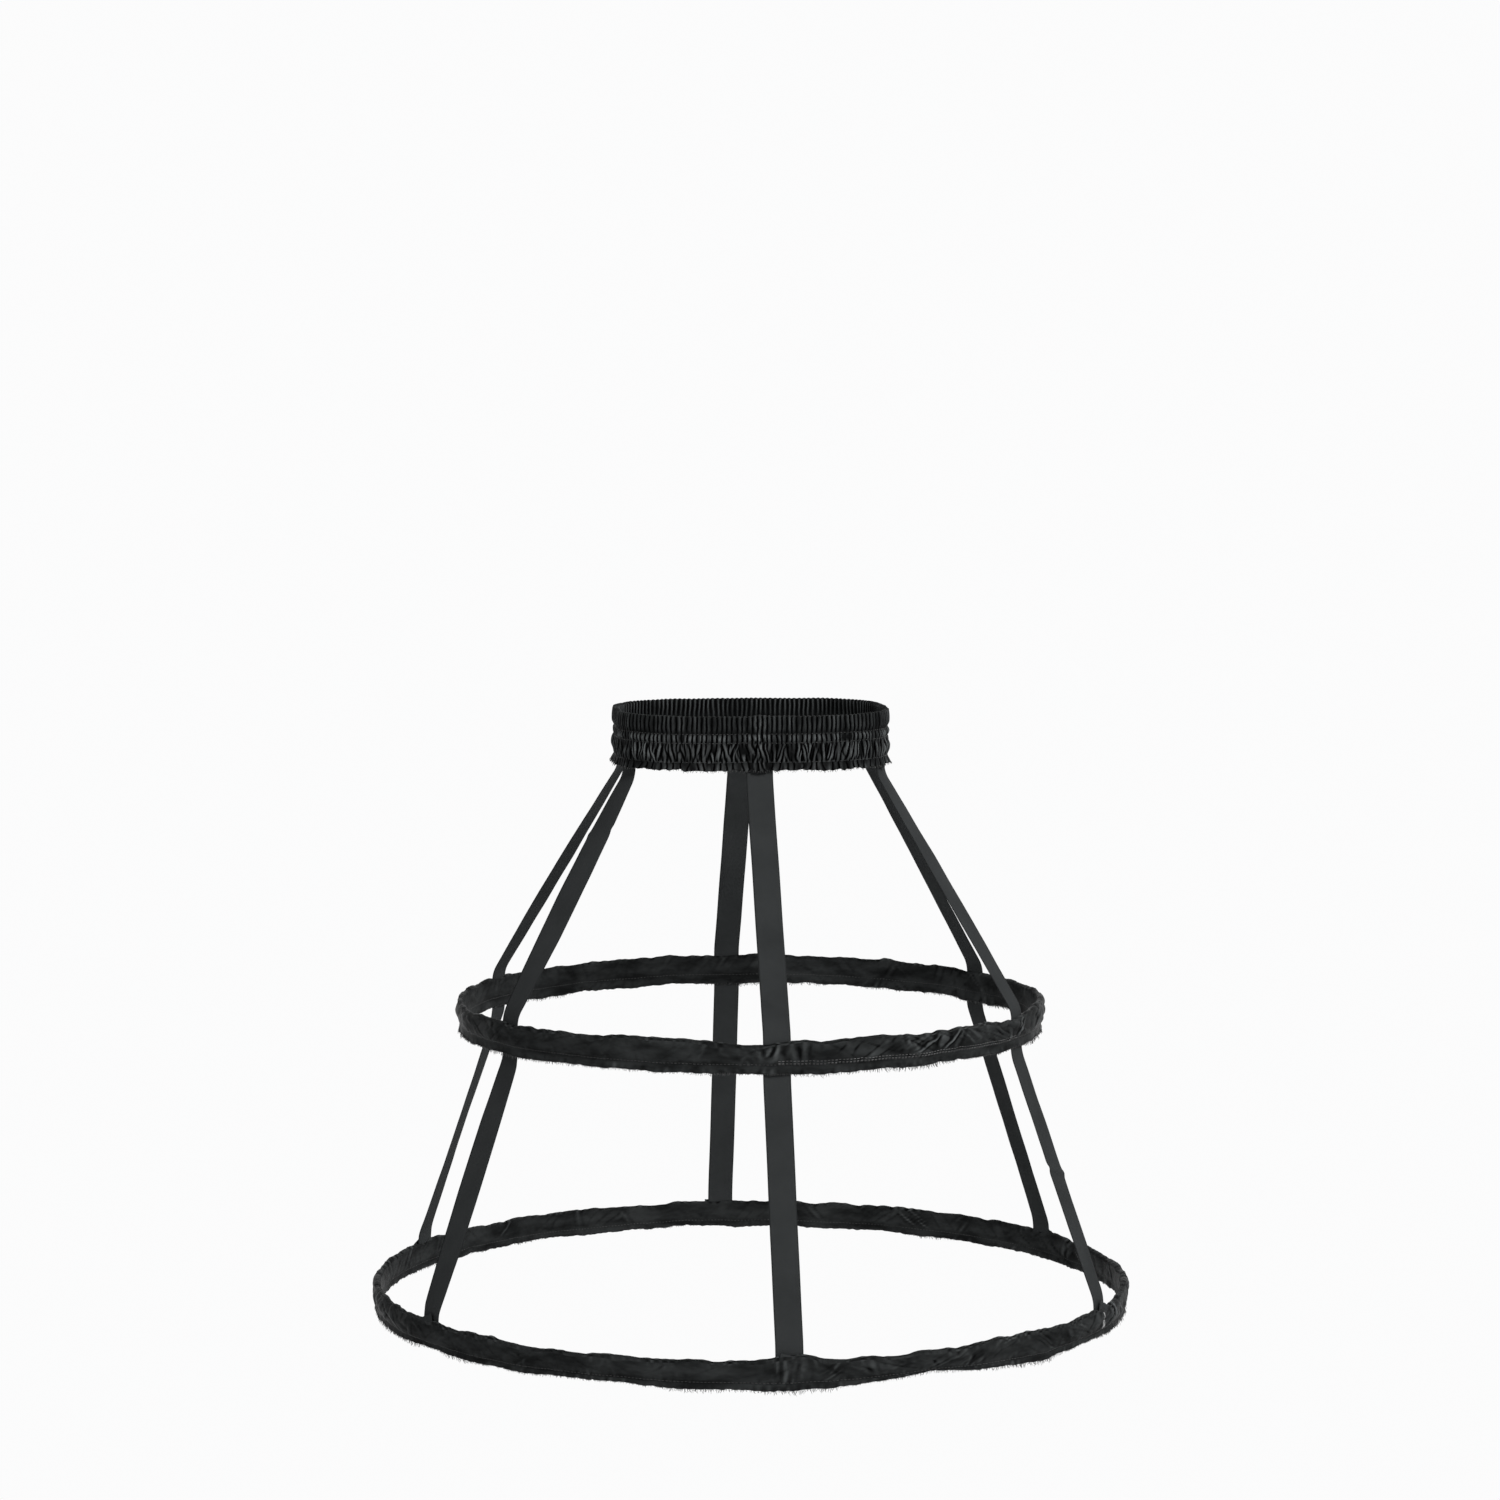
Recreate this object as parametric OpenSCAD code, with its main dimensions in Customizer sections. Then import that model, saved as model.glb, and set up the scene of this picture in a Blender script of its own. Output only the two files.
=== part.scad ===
// Two-hoop crinoline cage: a gathered elastic waistband, six flat ribbons and two boned hoops.
// Millimetres. +Z is up, the wearer faces +Y, and the origin is the middle of the waist opening.

/* [Waistband] */
// Width of the waist opening, side to side
waist_w = 209; // [180:1:260]
// Depth of the waist opening, front to back
waist_d = 159; // [140:1:220]
// How flat the back and sides of the waist opening are: 2 is a plain ellipse
waist_square = 3; // [2:0.1:4]
// Height of the finely pleated crown above the first stitch row
crown_h = 13; // [8:0.5:24]
// Height of the narrow tuck between the two upper stitch rows
tuck_h = 7; // [4:0.5:14]
// Height of the loose puff below the second stitch row
puff_h = 15; // [12:0.5:30]
// Height of the raw frill below the lowest stitch row
frill_h = 6.5; // [4:0.5:12]
// How far the gathers stand out from the band
gather_depth = 2.2; // [0.5:0.1:4]
// Number of gathers round the band
gather_count = 100; // [60:1:140]
// How far the raw frill flares below its stitch row
frill_flare = 1.6; // [0.2:0.1:4]
// Thickness of the elastic inside the band
elastic_t = 0.9; // [0.6:0.1:2]

/* [Ribbons] */
// Width of each ribbon
ribbon_w = 20; // [10:1:30]
// Thickness of each ribbon
ribbon_t = 0.6; // [0.4:0.1:1.5]
// Length of each ribbon that is sewn into the waistband
ribbon_tab = 12; // [6:0.5:18]
// Height of the turned-up ribbon end above the lower casing
turn_up_h = 2.5; // [0:0.5:10]
// How far the turned-up end leans sideways
turn_up_lean = 3; // [0:0.5:6]

/* [Upper hoop] */
// Diameter of the upper hoop at the middle of its bone
upper_hoop_d = 464; // [400:1:520]
// Drop from the waistline to the middle of the upper bone
upper_drop = 218; // [160:1:280]
// Height of the upper casing's raw edges below their stitch row
upper_allowance = 7.5; // [4:0.5:20]

/* [Lower hoop] */
// Diameter of the lower hoop at the middle of its bone
lower_hoop_d = 600; // [540:1:700]
// Drop from the waistline to the middle of the lower bone
lower_drop = 444; // [360:1:560]
// Height of the lower casing's raw edges below their stitch row
lower_allowance = 5; // [4:0.5:20]

/* [Boning] */
// Width of the flat hoop bone
bone_w = 10; // [6:0.5:14]
// Thickness of the flat hoop bone
bone_t = 1.2; // [0.8:0.1:2.5]
// Gap between the two ends of a bone, inside its connector
bone_gap = 2; // [1:0.5:6]
// Length of the connector sleeve along the hoop
connector_l = 40; // [20:1:80]
// Wall of the connector sleeve
connector_wall = 0.5; // [0.4:0.1:1]
// Clearance between the bone and its connector
bone_clear = 0.15; // [0.05:0.05:0.4]

/* [Cloth] */
// Thickness of the sewn satin
cloth_t = 0.8; // [0.5:0.1:1.5]
// How far the casing puckers stand out
pucker_depth = 1.4; // [0.2:0.1:3]
// Wave of the casing fold and of the raw edges, up and down
edge_wave = 0.8; // [0:0.1:1.5]
// Ease between one layer and the next
ease = 0.3; // [0.2:0.05:0.5]

/* [Hidden] */
$fn = 96;

// The first ribbon is at the back, and each bone's ends meet halfway from it to the next one;
// directions are anticlockwise from +X
back_dir = -90;
ribbon_count = 6;
ribbon_pitch = 360 / ribbon_count;
join_dir = back_dir + ribbon_pitch / 2;

// Heights of the waistband's rows: the waistline is halfway up
band_h = crown_h + tuck_h + puff_h + frill_h;
band_top = band_h / 2;
crown_row = band_top - crown_h;
tuck_row = crown_row - tuck_h;
puff_row = tuck_row - puff_h;
band_bottom = -band_h / 2;

// Layers of the waistband, measured outwards from the waist opening
lining_out = cloth_t;
pocket_out = lining_out + elastic_t + 2 * ease;
band_out = pocket_out + cloth_t;
pocket_mid = (lining_out + pocket_out) / 2;

// Shares of the gather depth: the valleys between ridges, and the ridges of each row
valley_share = 0.15;
crown_share = 0.5;
tuck_share = 0.45;
puff_share = 0.8;

// Heights of the ridges within their rows
crown_peak = crown_row + 0.6 * crown_h;
tuck_peak = (tuck_row + crown_row) / 2;
puff_peak = puff_row + 0.55 * puff_h;

// Folded cloth is rounded off by this much at its corners
fold_round = 0.4 * cloth_t;

// The elastic fills the pocket from the fold down to the ribbon tabs
pocket_top = band_top - cloth_t;
elastic_top = pocket_top - ease;
tab_top = band_bottom + ribbon_tab;
elastic_w = elastic_top - tab_top - ease;
elastic_sides = 120;

// Sizes of the sleeve that joins a bone's ends, and of the channel: it also holds a bone between two ribbons
sleeve_h = bone_w + 2 * (bone_clear + connector_wall);
sleeve_t = bone_t + 2 * (bone_clear + connector_wall);
channel_h = sleeve_h + 2 * ease;
channel_t = max(sleeve_t + 2 * ease, bone_t + 2 * (ribbon_t + ease));
casing_rise = channel_h / 2 + cloth_t;
casing_t = channel_t + 2 * cloth_t;

// The ribbons pass between the two raw edges below the stitch row
layer_gap = ribbon_t + ease;

// Below the bone the outer layer slopes in to the stitch row, as deep as the channel is thick
stitch_drop = channel_h / 2 + channel_t;
upper_casing_h = casing_rise + stitch_drop + upper_allowance;
lower_casing_h = casing_rise + stitch_drop + lower_allowance;
casing_stations = 66;

// Reach of a ribbon's soft bends, and the steps along a bend, a straight run and the turned-up end
bend_r = 5;
bend_steps = 3;
run_steps = 5;
turn_steps = 6;

satin_black = [0.045, 0.045, 0.05];
ribbon_black = [0.085, 0.09, 0.092];
elastic_black = [0.06, 0.06, 0.06];
bone_white = [0.82, 0.82, 0.80];
sleeve_grey = [0.55, 0.56, 0.58];

// A repeatable irregular number from -1 to 1
function uneven(k, step) = sin(k * step + 40 * sin(k * step / 3));

// Plain vector helpers
function unit(v) = v / norm(v);
function mix(a, b, s) = a * (1 - s) + b * s;

// The edge of the waist opening is an ellipse swollen between its axes: the outward direction,
// a point offset outwards, and the direction along the edge
function squared(x, power) = sign(x) * pow(abs(x), power);
function waist_swell(dir) =
    pow(pow(abs(cos(dir)), waist_square) + pow(abs(sin(dir)), waist_square), -1 / waist_square);
function waist_normal(dir) =
    unit([squared(cos(dir), waist_square - 1) / waist_w, squared(sin(dir), waist_square - 1) / waist_d, 0]);
function waist_point(dir, out, z) =
    waist_swell(dir) / 2 * [waist_w * cos(dir), waist_d * sin(dir), 0] + out * waist_normal(dir) + [0, 0, z];
function waist_along(dir) = let (n = waist_normal(dir)) [-n[1], n[0], 0];

// A point of a hoop, and the direction along it
function hoop_point(dir, r, z) = [r * cos(dir), r * sin(dir), z];
function hoop_along(dir) = [-sin(dir), cos(dir), 0];

// A closed ring swept through sections that all have the same number of points
module ring_sweep(sections) {
    n = len(sections);
    m = len(sections[0]);
    polyhedron(
        points = [for (section = sections) each section],
        faces = [for (i = [0 : n - 1], j = [0 : m - 1])
            let (i2 = (i + 1) % n, j2 = (j + 1) % m)
            each [[i * m + j, i * m + j2, i2 * m + j2], [i * m + j, i2 * m + j2, i2 * m + j]]],
        convexity = 10
    );
}

// A flat strip swept along a path: each point has its own width direction, and its own bow,
// by which the two edges stay behind the middle line
module strip_sweep(path, across, bow, w, t) {
    n = len(path);
    m = 6;
    function heading(i) = unit(path[min(i + 1, n - 1)] - path[max(i - 1, 0)]);
    function corners(i) =
        let (side = across[i], face = unit(cross(heading(i), side)))
        [for (c = [[-1, -1], [0, -1], [1, -1], [1, 1], [0, 1], [-1, 1]])
            path[i] + side * (c[0] * w / 2) + face * (c[1] * t / 2 - abs(c[0]) * bow[i])];
    polyhedron(
        points = [for (i = [0 : n - 1]) each corners(i)],
        faces = concat(
            [[0, 1, 4], [0, 4, 5], [1, 2, 3], [1, 3, 4]],
            [for (i = [0 : n - 2], j = [0 : m - 1])
                let (j2 = (j + 1) % m, a = i * m, b = a + m)
                each j < m / 2 ?
                    [[a + j, b + j2, a + j2], [a + j, b + j, b + j2]] :
                    [[a + j, b + j, a + j2], [a + j2, b + j, b + j2]]],
            [for (cap = [[4, 1, 0], [5, 4, 0], [3, 2, 1], [4, 3, 1]]) [for (p = cap) (n - 1) * m + p]]
        ),
        convexity = 6
    );
}

// Height of one ridge or valley of the gathers, uneven by a share of itself
function gather(k, share, step, unevenness) =
    gather_depth * (valley_share + share * (k % 2) * (1 - unevenness + unevenness * uneven(k, step)));

// One upright section of the waistband: a folded strip, gathered on its outer face
function waistband_section(k) =
    let (dir = back_dir + 360 * (k + 0.5) / (2 * gather_count))
    let (crown = gather(k, crown_share, 97, 0.15))
    let (tuck = gather(k, tuck_share, 61, 0.3))
    let (puff = gather(k, puff_share, 139, 0.25))
    let (flare = frill_flare * (0.55 + 0.45 * uneven(k, 83)))
    let (hem = band_bottom + edge_wave * uneven(k, 113))
    [for (p = [
        [band_out + flare, hem],
        [band_out, puff_row],
        [band_out + puff, puff_peak],
        [band_out, tuck_row],
        [band_out + tuck, tuck_peak],
        [band_out, crown_row],
        [band_out + crown, crown_peak],
        [band_out + fold_round, band_top],
        [0, band_top - fold_round],
        [0, band_bottom],
        [lining_out, band_bottom],
        [lining_out, pocket_top],
        [pocket_out, pocket_top],
        [pocket_out, hem]
    ]) waist_point(dir, p[0], p[1])];

module waistband_casing()
    color(satin_black)
    ring_sweep([for (k = [0 : 2 * gather_count - 1]) waistband_section(k)]);

module waist_elastic() {
    edge = lining_out + ease;
    function outline(out) =
        [for (k = [0 : elastic_sides - 1])
            let (p = waist_point(360 * k / elastic_sides, out, 0)) [p[0], p[1]]];
    color(elastic_black)
    translate([0, 0, elastic_top - elastic_w])
    linear_extrude(elastic_w)
    difference() {
        polygon(outline(edge + elastic_t));
        polygon(outline(edge));
    }
}

// One upright section of a hoop casing: a strip folded over the bone, with its two raw edges below
function casing_section(k, hoop_d, bone_z, casing_h) =
    let (dir = back_dir + 360 * (k + 0.5) / casing_stations)
    let (r = hoop_d / 2, outer = 1 / cos(180 / casing_stations))
    let (top = bone_z + casing_rise, row = bone_z - stitch_drop, hem = top - casing_h)
    let (inside = r - casing_t / 2, split = inside + cloth_t, seam = split + layer_gap)
    let (bulge = pucker_depth * (0.5 + 0.5 * uneven(k, 71)))
    let (slump = pucker_depth * (0.5 + 0.5 * uneven(k, 127)))
    let (crest = top + edge_wave * (0.5 + 0.5 * uneven(k, 53)))
    let (edge = hem + edge_wave * (0.5 + 0.5 * uneven(k, 101)))
    let (channel_top = bone_z + channel_h / 2, channel_bottom = bone_z - channel_h / 2)
    let (channel_out = (r + channel_t / 2) * outer, outside = r + casing_t / 2)
    [for (p = [
        [(seam + cloth_t + 0.4 * slump) * outer, edge],
        [(seam + cloth_t) * outer, row - fold_round],
        [(outside + slump) * outer, channel_bottom - fold_round],
        [(outside + bulge) * outer, bone_z],
        [(outside + 0.4 * bulge) * outer, top - fold_round],
        [r, crest],
        [inside, top - fold_round],
        [inside, hem],
        [split, hem],
        [split, channel_top],
        [channel_out, channel_top],
        [channel_out, channel_bottom],
        [seam * outer, row],
        [seam * outer, edge]
    ]) hoop_point(dir, p[0], p[1])];

// Distances from the axis at which a flat ribbon lies inside and outside the bone, within its casing
function seat_inside(hoop_d) =
    let (wall = (hoop_d / 2 - casing_t / 2 + cloth_t) * cos(180 / casing_stations))
    let (bone_face = sqrt(pow(hoop_d / 2 - bone_t / 2, 2) - pow(ribbon_w / 2, 2)))
    (wall + bone_face) / 2;
function seat_outside(hoop_d) = hoop_d / 2 + (bone_t + channel_t) / 4;

// The slits in a casing's fold, where the ribbons go in beside the bone
module ribbon_slits(bone_z, from, to, lean) {
    floor_z = bone_z + channel_h / 2 - ease;
    for (place = [0 : ribbon_count - 1])
        rotate(back_dir + ribbon_pitch * place)
        translate([from - ribbon_t / 2 - ease, -ribbon_w / 2 - ease, floor_z])
        cube([to - from + ribbon_t + 2 * ease, ribbon_w + lean + 2 * ease, 2 * (cloth_t + ease + edge_wave)]);
}

module hoop_casing(hoop_d, bone_z, casing_h, slit_to, lean)
    color(satin_black)
    difference() {
        ring_sweep([for (k = [0 : casing_stations - 1]) casing_section(k, hoop_d, bone_z, casing_h)]);
        ribbon_slits(bone_z, seat_inside(hoop_d), slit_to, lean);
    }

// A flat bone bent round until its ends nearly meet
module hoop_bone(hoop_d, bone_z) {
    open = bone_gap / (hoop_d / 2) * 180 / PI;
    color(bone_white)
    translate([0, 0, bone_z])
    rotate(join_dir + open / 2)
    rotate_extrude(angle = 360 - open)
    translate([hoop_d / 2 - bone_t / 2, -bone_w / 2])
    square([bone_t, bone_w]);
}

// The crimped sleeve over the two ends of a bone
module bone_connector(hoop_d, bone_z) {
    arc = connector_l / (hoop_d / 2) * 180 / PI;
    color(sleeve_grey)
    translate([0, 0, bone_z])
    rotate(join_dir - arc / 2)
    rotate_extrude(angle = arc)
    translate([hoop_d / 2, 0])
    difference() {
        square([sleeve_t, sleeve_h], center = true);
        square([bone_t, bone_w] + 2 * bone_clear * [1, 1], center = true);
    }
}

// A corner of a path, rounded by a short curve
function soft_corner(before, corner, after) =
    let (a = corner + unit(before - corner) * bend_r, b = corner + unit(after - corner) * bend_r)
    [for (k = [0 : bend_steps]) let (s = k / bend_steps) mix(mix(a, corner, s), mix(corner, b, s), s)];

// Evenly spaced points inside a straight run
function run_points(a, b) = [for (k = [1 : run_steps - 1]) mix(a, b, k / run_steps)];

// The middle line of a ribbon: from its tab in the waistband, down through the upper casing, into the
// lower one, round under its bone and up again to the raw end
function ribbon_path(dir) =
    let (upper_r = seat_inside(upper_hoop_d), lower_r = seat_inside(lower_hoop_d))
    let (upper_top = casing_rise - upper_drop, upper_hem = upper_top - upper_casing_h)
    let (lower_top = casing_rise - lower_drop, turn_z = -lower_drop - bone_w / 2)
    let (turn = (seat_outside(lower_hoop_d) - lower_r) / 2)
    let (tab_end = waist_point(dir, pocket_mid, tab_top))
    let (leave = waist_point(dir, pocket_mid, band_bottom - edge_wave - bend_r))
    let (upper_on = hoop_point(dir, upper_r, upper_top + edge_wave + bend_r))
    let (upper_off = hoop_point(dir, upper_r, upper_hem - bend_r))
    let (lower_on = hoop_point(dir, lower_r, lower_top + turn_up_h + bend_r))
    let (lower_end = hoop_point(dir, lower_r, turn_z))
    let (lean = hoop_along(dir) * turn_up_lean)
    concat(
        [tab_end],
        soft_corner(tab_end, leave, upper_on),
        run_points(leave, upper_on),
        soft_corner(leave, upper_on, upper_off),
        soft_corner(upper_on, upper_off, lower_on),
        soft_corner(upper_off, lower_on, lower_end),
        [for (k = [0 : turn_steps]) let (a = 180 * k / turn_steps)
            hoop_point(dir, lower_r + turn - turn * cos(a), turn_z - turn * sin(a))],
        [hoop_point(dir, lower_r + 2 * turn, lower_top + turn_up_h) + lean]
    );

// How far a ribbon has come from the waistband, at 0, to the upper hoop, at 1
function ribbon_share(p) = min(1, max(0, (band_bottom - p[2]) / (band_bottom - casing_rise + upper_drop)));

// The width direction turns from the waist edge to the hoops on the way to the upper hoop
function ribbon_across(dir, path) =
    [for (p = path) unit(mix(waist_along(dir), hoop_along(dir), ribbon_share(p)))];

// The tab is bowed as the waist is, and the bow is gone at the upper hoop
function ribbon_bow(dir, path) =
    let (step = ribbon_w / waist_w * 180 / PI, middle = waist_point(dir, pocket_mid, 0))
    let (edges = [for (s = [-step, step]) waist_point(dir + s, pocket_mid, 0) - middle])
    let (drop = -(edges[0] + edges[1]) / 2 * waist_normal(dir), reach = norm(edges[1] - edges[0]) / 2)
    let (bow = drop * pow(ribbon_w / 2 / reach, 2))
    [for (p = path) bow * (1 - ribbon_share(p))];

module ribbon(place) {
    dir = back_dir + ribbon_pitch * place;
    path = ribbon_path(dir);
    color(ribbon_black)
    strip_sweep(path, ribbon_across(dir, path), ribbon_bow(dir, path), ribbon_w, ribbon_t);
}

module back_ribbon() ribbon(0);
module right_back_ribbon() ribbon(1);
module right_front_ribbon() ribbon(2);
module front_ribbon() ribbon(3);
module left_front_ribbon() ribbon(4);
module left_back_ribbon() ribbon(5);

module upper_hoop_casing()
    hoop_casing(upper_hoop_d, -upper_drop, upper_casing_h, seat_inside(upper_hoop_d), 0);
module upper_hoop_bone() hoop_bone(upper_hoop_d, -upper_drop);
module upper_bone_connector() bone_connector(upper_hoop_d, -upper_drop);

module lower_hoop_casing()
    hoop_casing(lower_hoop_d, -lower_drop, lower_casing_h, seat_outside(lower_hoop_d), turn_up_lean);
module lower_hoop_bone() hoop_bone(lower_hoop_d, -lower_drop);
module lower_bone_connector() bone_connector(lower_hoop_d, -lower_drop);

waistband_casing();
waist_elastic();
back_ribbon();
right_back_ribbon();
right_front_ribbon();
front_ribbon();
left_front_ribbon();
left_back_ribbon();
upper_hoop_casing();
upper_hoop_bone();
upper_bone_connector();
lower_hoop_casing();
lower_hoop_bone();
lower_bone_connector();
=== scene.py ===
"""Sews the cloth of a two-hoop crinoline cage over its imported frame."""

import math
import random

import bmesh
import bpy
from bpy.props import FloatProperty, FloatVectorProperty, IntProperty, PointerProperty
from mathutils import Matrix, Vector, noise


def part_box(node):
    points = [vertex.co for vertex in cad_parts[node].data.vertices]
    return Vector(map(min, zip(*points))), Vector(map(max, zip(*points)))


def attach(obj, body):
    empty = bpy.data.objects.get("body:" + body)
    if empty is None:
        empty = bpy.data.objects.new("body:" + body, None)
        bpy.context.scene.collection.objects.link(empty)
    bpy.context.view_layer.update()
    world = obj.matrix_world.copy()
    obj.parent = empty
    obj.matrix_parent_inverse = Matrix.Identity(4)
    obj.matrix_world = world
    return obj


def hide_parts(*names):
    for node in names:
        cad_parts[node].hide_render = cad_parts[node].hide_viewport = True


bl_info = {
    "name": "Crinoline Cage",
    "version": (1, 0, 0),
    "blender": (4, 5, 0),
    "location": "View3D > Sidebar > Cage",
    "description": "Sews the cloth of a two-hoop crinoline cage over its packed frame",
    "category": "Object",
}

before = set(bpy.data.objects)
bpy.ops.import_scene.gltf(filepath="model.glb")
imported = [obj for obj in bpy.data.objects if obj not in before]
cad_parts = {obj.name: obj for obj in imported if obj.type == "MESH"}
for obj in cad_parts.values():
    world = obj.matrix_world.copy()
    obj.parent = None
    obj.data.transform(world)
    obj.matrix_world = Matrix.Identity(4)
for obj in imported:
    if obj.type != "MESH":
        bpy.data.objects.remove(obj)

MM = 0.001
TAU = math.tau
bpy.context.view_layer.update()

# The seams are at the back, and every distance round a ring is measured from there, anticlockwise
BACK = -math.pi / 2

# The ribbons and their places round the hoops, in degrees from the back
RIBBONS = {
    "back": 0,
    "right_back": 60,
    "right_front": 120,
    "front": 180,
    "left_front": 240,
    "left_back": 300,
}

# How each ribbon hangs: the twists of its upper and lower run in degrees, and in millimetres the shifts
# of its upper crossing and of its foot, and the lean of its end
HABITS = {
    "back": (2, 1, 0.0, 3.0, 3.0),
    "right_back": (4, 3, -5.0, 0.0, 7.0),
    "right_front": (3, 2, 5.0, 0.0, -6.0),
    "front": (-3, 2, 0.0, 0.0, 3.0),
    "left_front": (7, -9, -5.0, 0.0, 6.0),
    "left_back": (-20, -14, 7.0, 0.0, -7.0),
}

# Creases pressed into the ribbons, each with its height in mm, its slant across the width and its depth in mm
CREASES = {
    "back": ((-185, 0.5, 0.7), (-342, -0.4, 0.6)),
    "right_back": ((-330, 0.4, 1.2),),
    "left_back": ((-70, -0.3, 0.8),),
}

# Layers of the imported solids, measured outwards from the waist opening or from a bone's middle
ELASTIC_FACE = 2.0 * MM
POCKET_MIDDLE = 1.55 * MM
BONE_HALF = 0.6 * MM
# How far a casing's top fold lies above a bone's middle, and its stitch row below it
CASING_RISE = 6.75 * MM
STITCH_DROP = 9.05 * MM
# How far a ribbon's soft bend reaches along it
RIBBON_BEND = 7.0 * MM

# Humps of the casings' top folds, tucks of their raw edges and patches of puckers on them, each with its
# height, its distance from the back and its width, in millimetres; a patch's height is how much it puckers
UPPER_RISES = (
    (3.0, -110, 50),
    (-1.5, -27, 16),
    (1.6, 14, 18),
    (2.2, 75, 35),
    (2.0, 160, 45),
    (2.0, 320, 50),
)
LOWER_RISES = (
    (2.8, 0, 24),
    (-1.5, -42, 20),
    (-1.5, 44, 18),
    (2.4, 205, 45),
    (2.0, -330, 60),
    (2.2, 420, 50),
)
UPPER_TUCKS = ((1.5, -28, 20), (-1.2, 20, 25))
LOWER_TUCKS = ((-2.2, 2, 35), (6.0, 118, 38), (-1.5, 215, 30), (-1.2, -75, 30), (1.2, -140, 40))
UPPER_PUCKERS = ((0.9, 50, 30), (0.9, 110, 30))

# How fine the meshes are
COLUMNS_PER_PLEAT = 9
CASING_COLUMN = 1.3 * MM
RIBBON_COLUMNS, RIBBON_ROWS = 12, 300

# A fold of a casing that is half as deep as this has its full painted highlight, and a hollow as deep its
# full painted shade
CASING_HOLLOW = 1.0 * MM

# A stitch's points, each with its share of the pitch and its height in thread radii
STITCH = ((0.2, -0.6), (0.35, 0.7), (0.65, 0.7), (0.8, -0.6))

# The twin rows' heights above the seam, and their share of the way round
TWIN_RISES = (0.8 * MM, 2.6 * MM)
TWIN_SHARE = 0.16

# The tack's stitches, each from one place to another: the way past the ribbon's middle and the height, in mm
TACKS = (
    ((0.0, 4.0), (2.5, -1.0)),
    ((1.0, -2.0), (1.2, -8.5)),
    ((3.6, -2.0), (3.6, -8.0)),
)
TACK_R, TACK_RAISE = 0.45 * MM, 0.3 * MM
TACK_TAPER = (0.5, 1.0, 1.0, 1.0, 1.0, 0.5)

# A loose thread's points past its root, each with its share of the length and its taper
FRAY = ((0.35, 0.95), (0.7, 0.75), (1.0, 0.4))
FRAY_R, FRAY_ROOT = 0.2 * MM, 0.6 * MM

# The soft lights, each with its place, its size and its power in watts
LIGHTS = {
    "key_light": ((1.2, -2.8, 2.2), 0.8, 145),
    "side_light": ((2.4, 1.2, 2.2), 1.0, 70),
    "fill_light": ((-2.6, -1.3, 0.9), 1.0, 16),
}
LIGHT_AIM = (0, 0, -0.2)
ROOM_LIGHT = 0.12

# The floor, the distances from its middle between which its shade gives way to plain white, and the least
# share of white in its shade
FLOOR_Z, FLOOR_HALF = -1.0, 30
FADE_START, FADE_STOP, FADE_LEAST = 1.1, 1.5, 0.3

# The camera, with its angles in degrees and its lens in millimetres
CAMERA_PLACE = (-0.3175, -3.6271, 0.350)
CAMERA_PITCH, CAMERA_TURN = 5.69, 5.0
CAMERA_LENS, CAMERA_SENSOR = 110.4, 36

# Noise is moved this far for each seed, and made this much larger to reach about -1 to 1
SEED_STEPS = (7.31, 3.17, 5.93)
NOISE_GAIN = 1.5


def middle(node):
    """The middle of a node's box."""
    low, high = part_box(node)
    return (low + high) / 2


def frame_size(node, axis, inset=0.0):
    """How far a node reaches along an axis, less an inset."""
    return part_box(node)[1][axis] - inset


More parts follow.
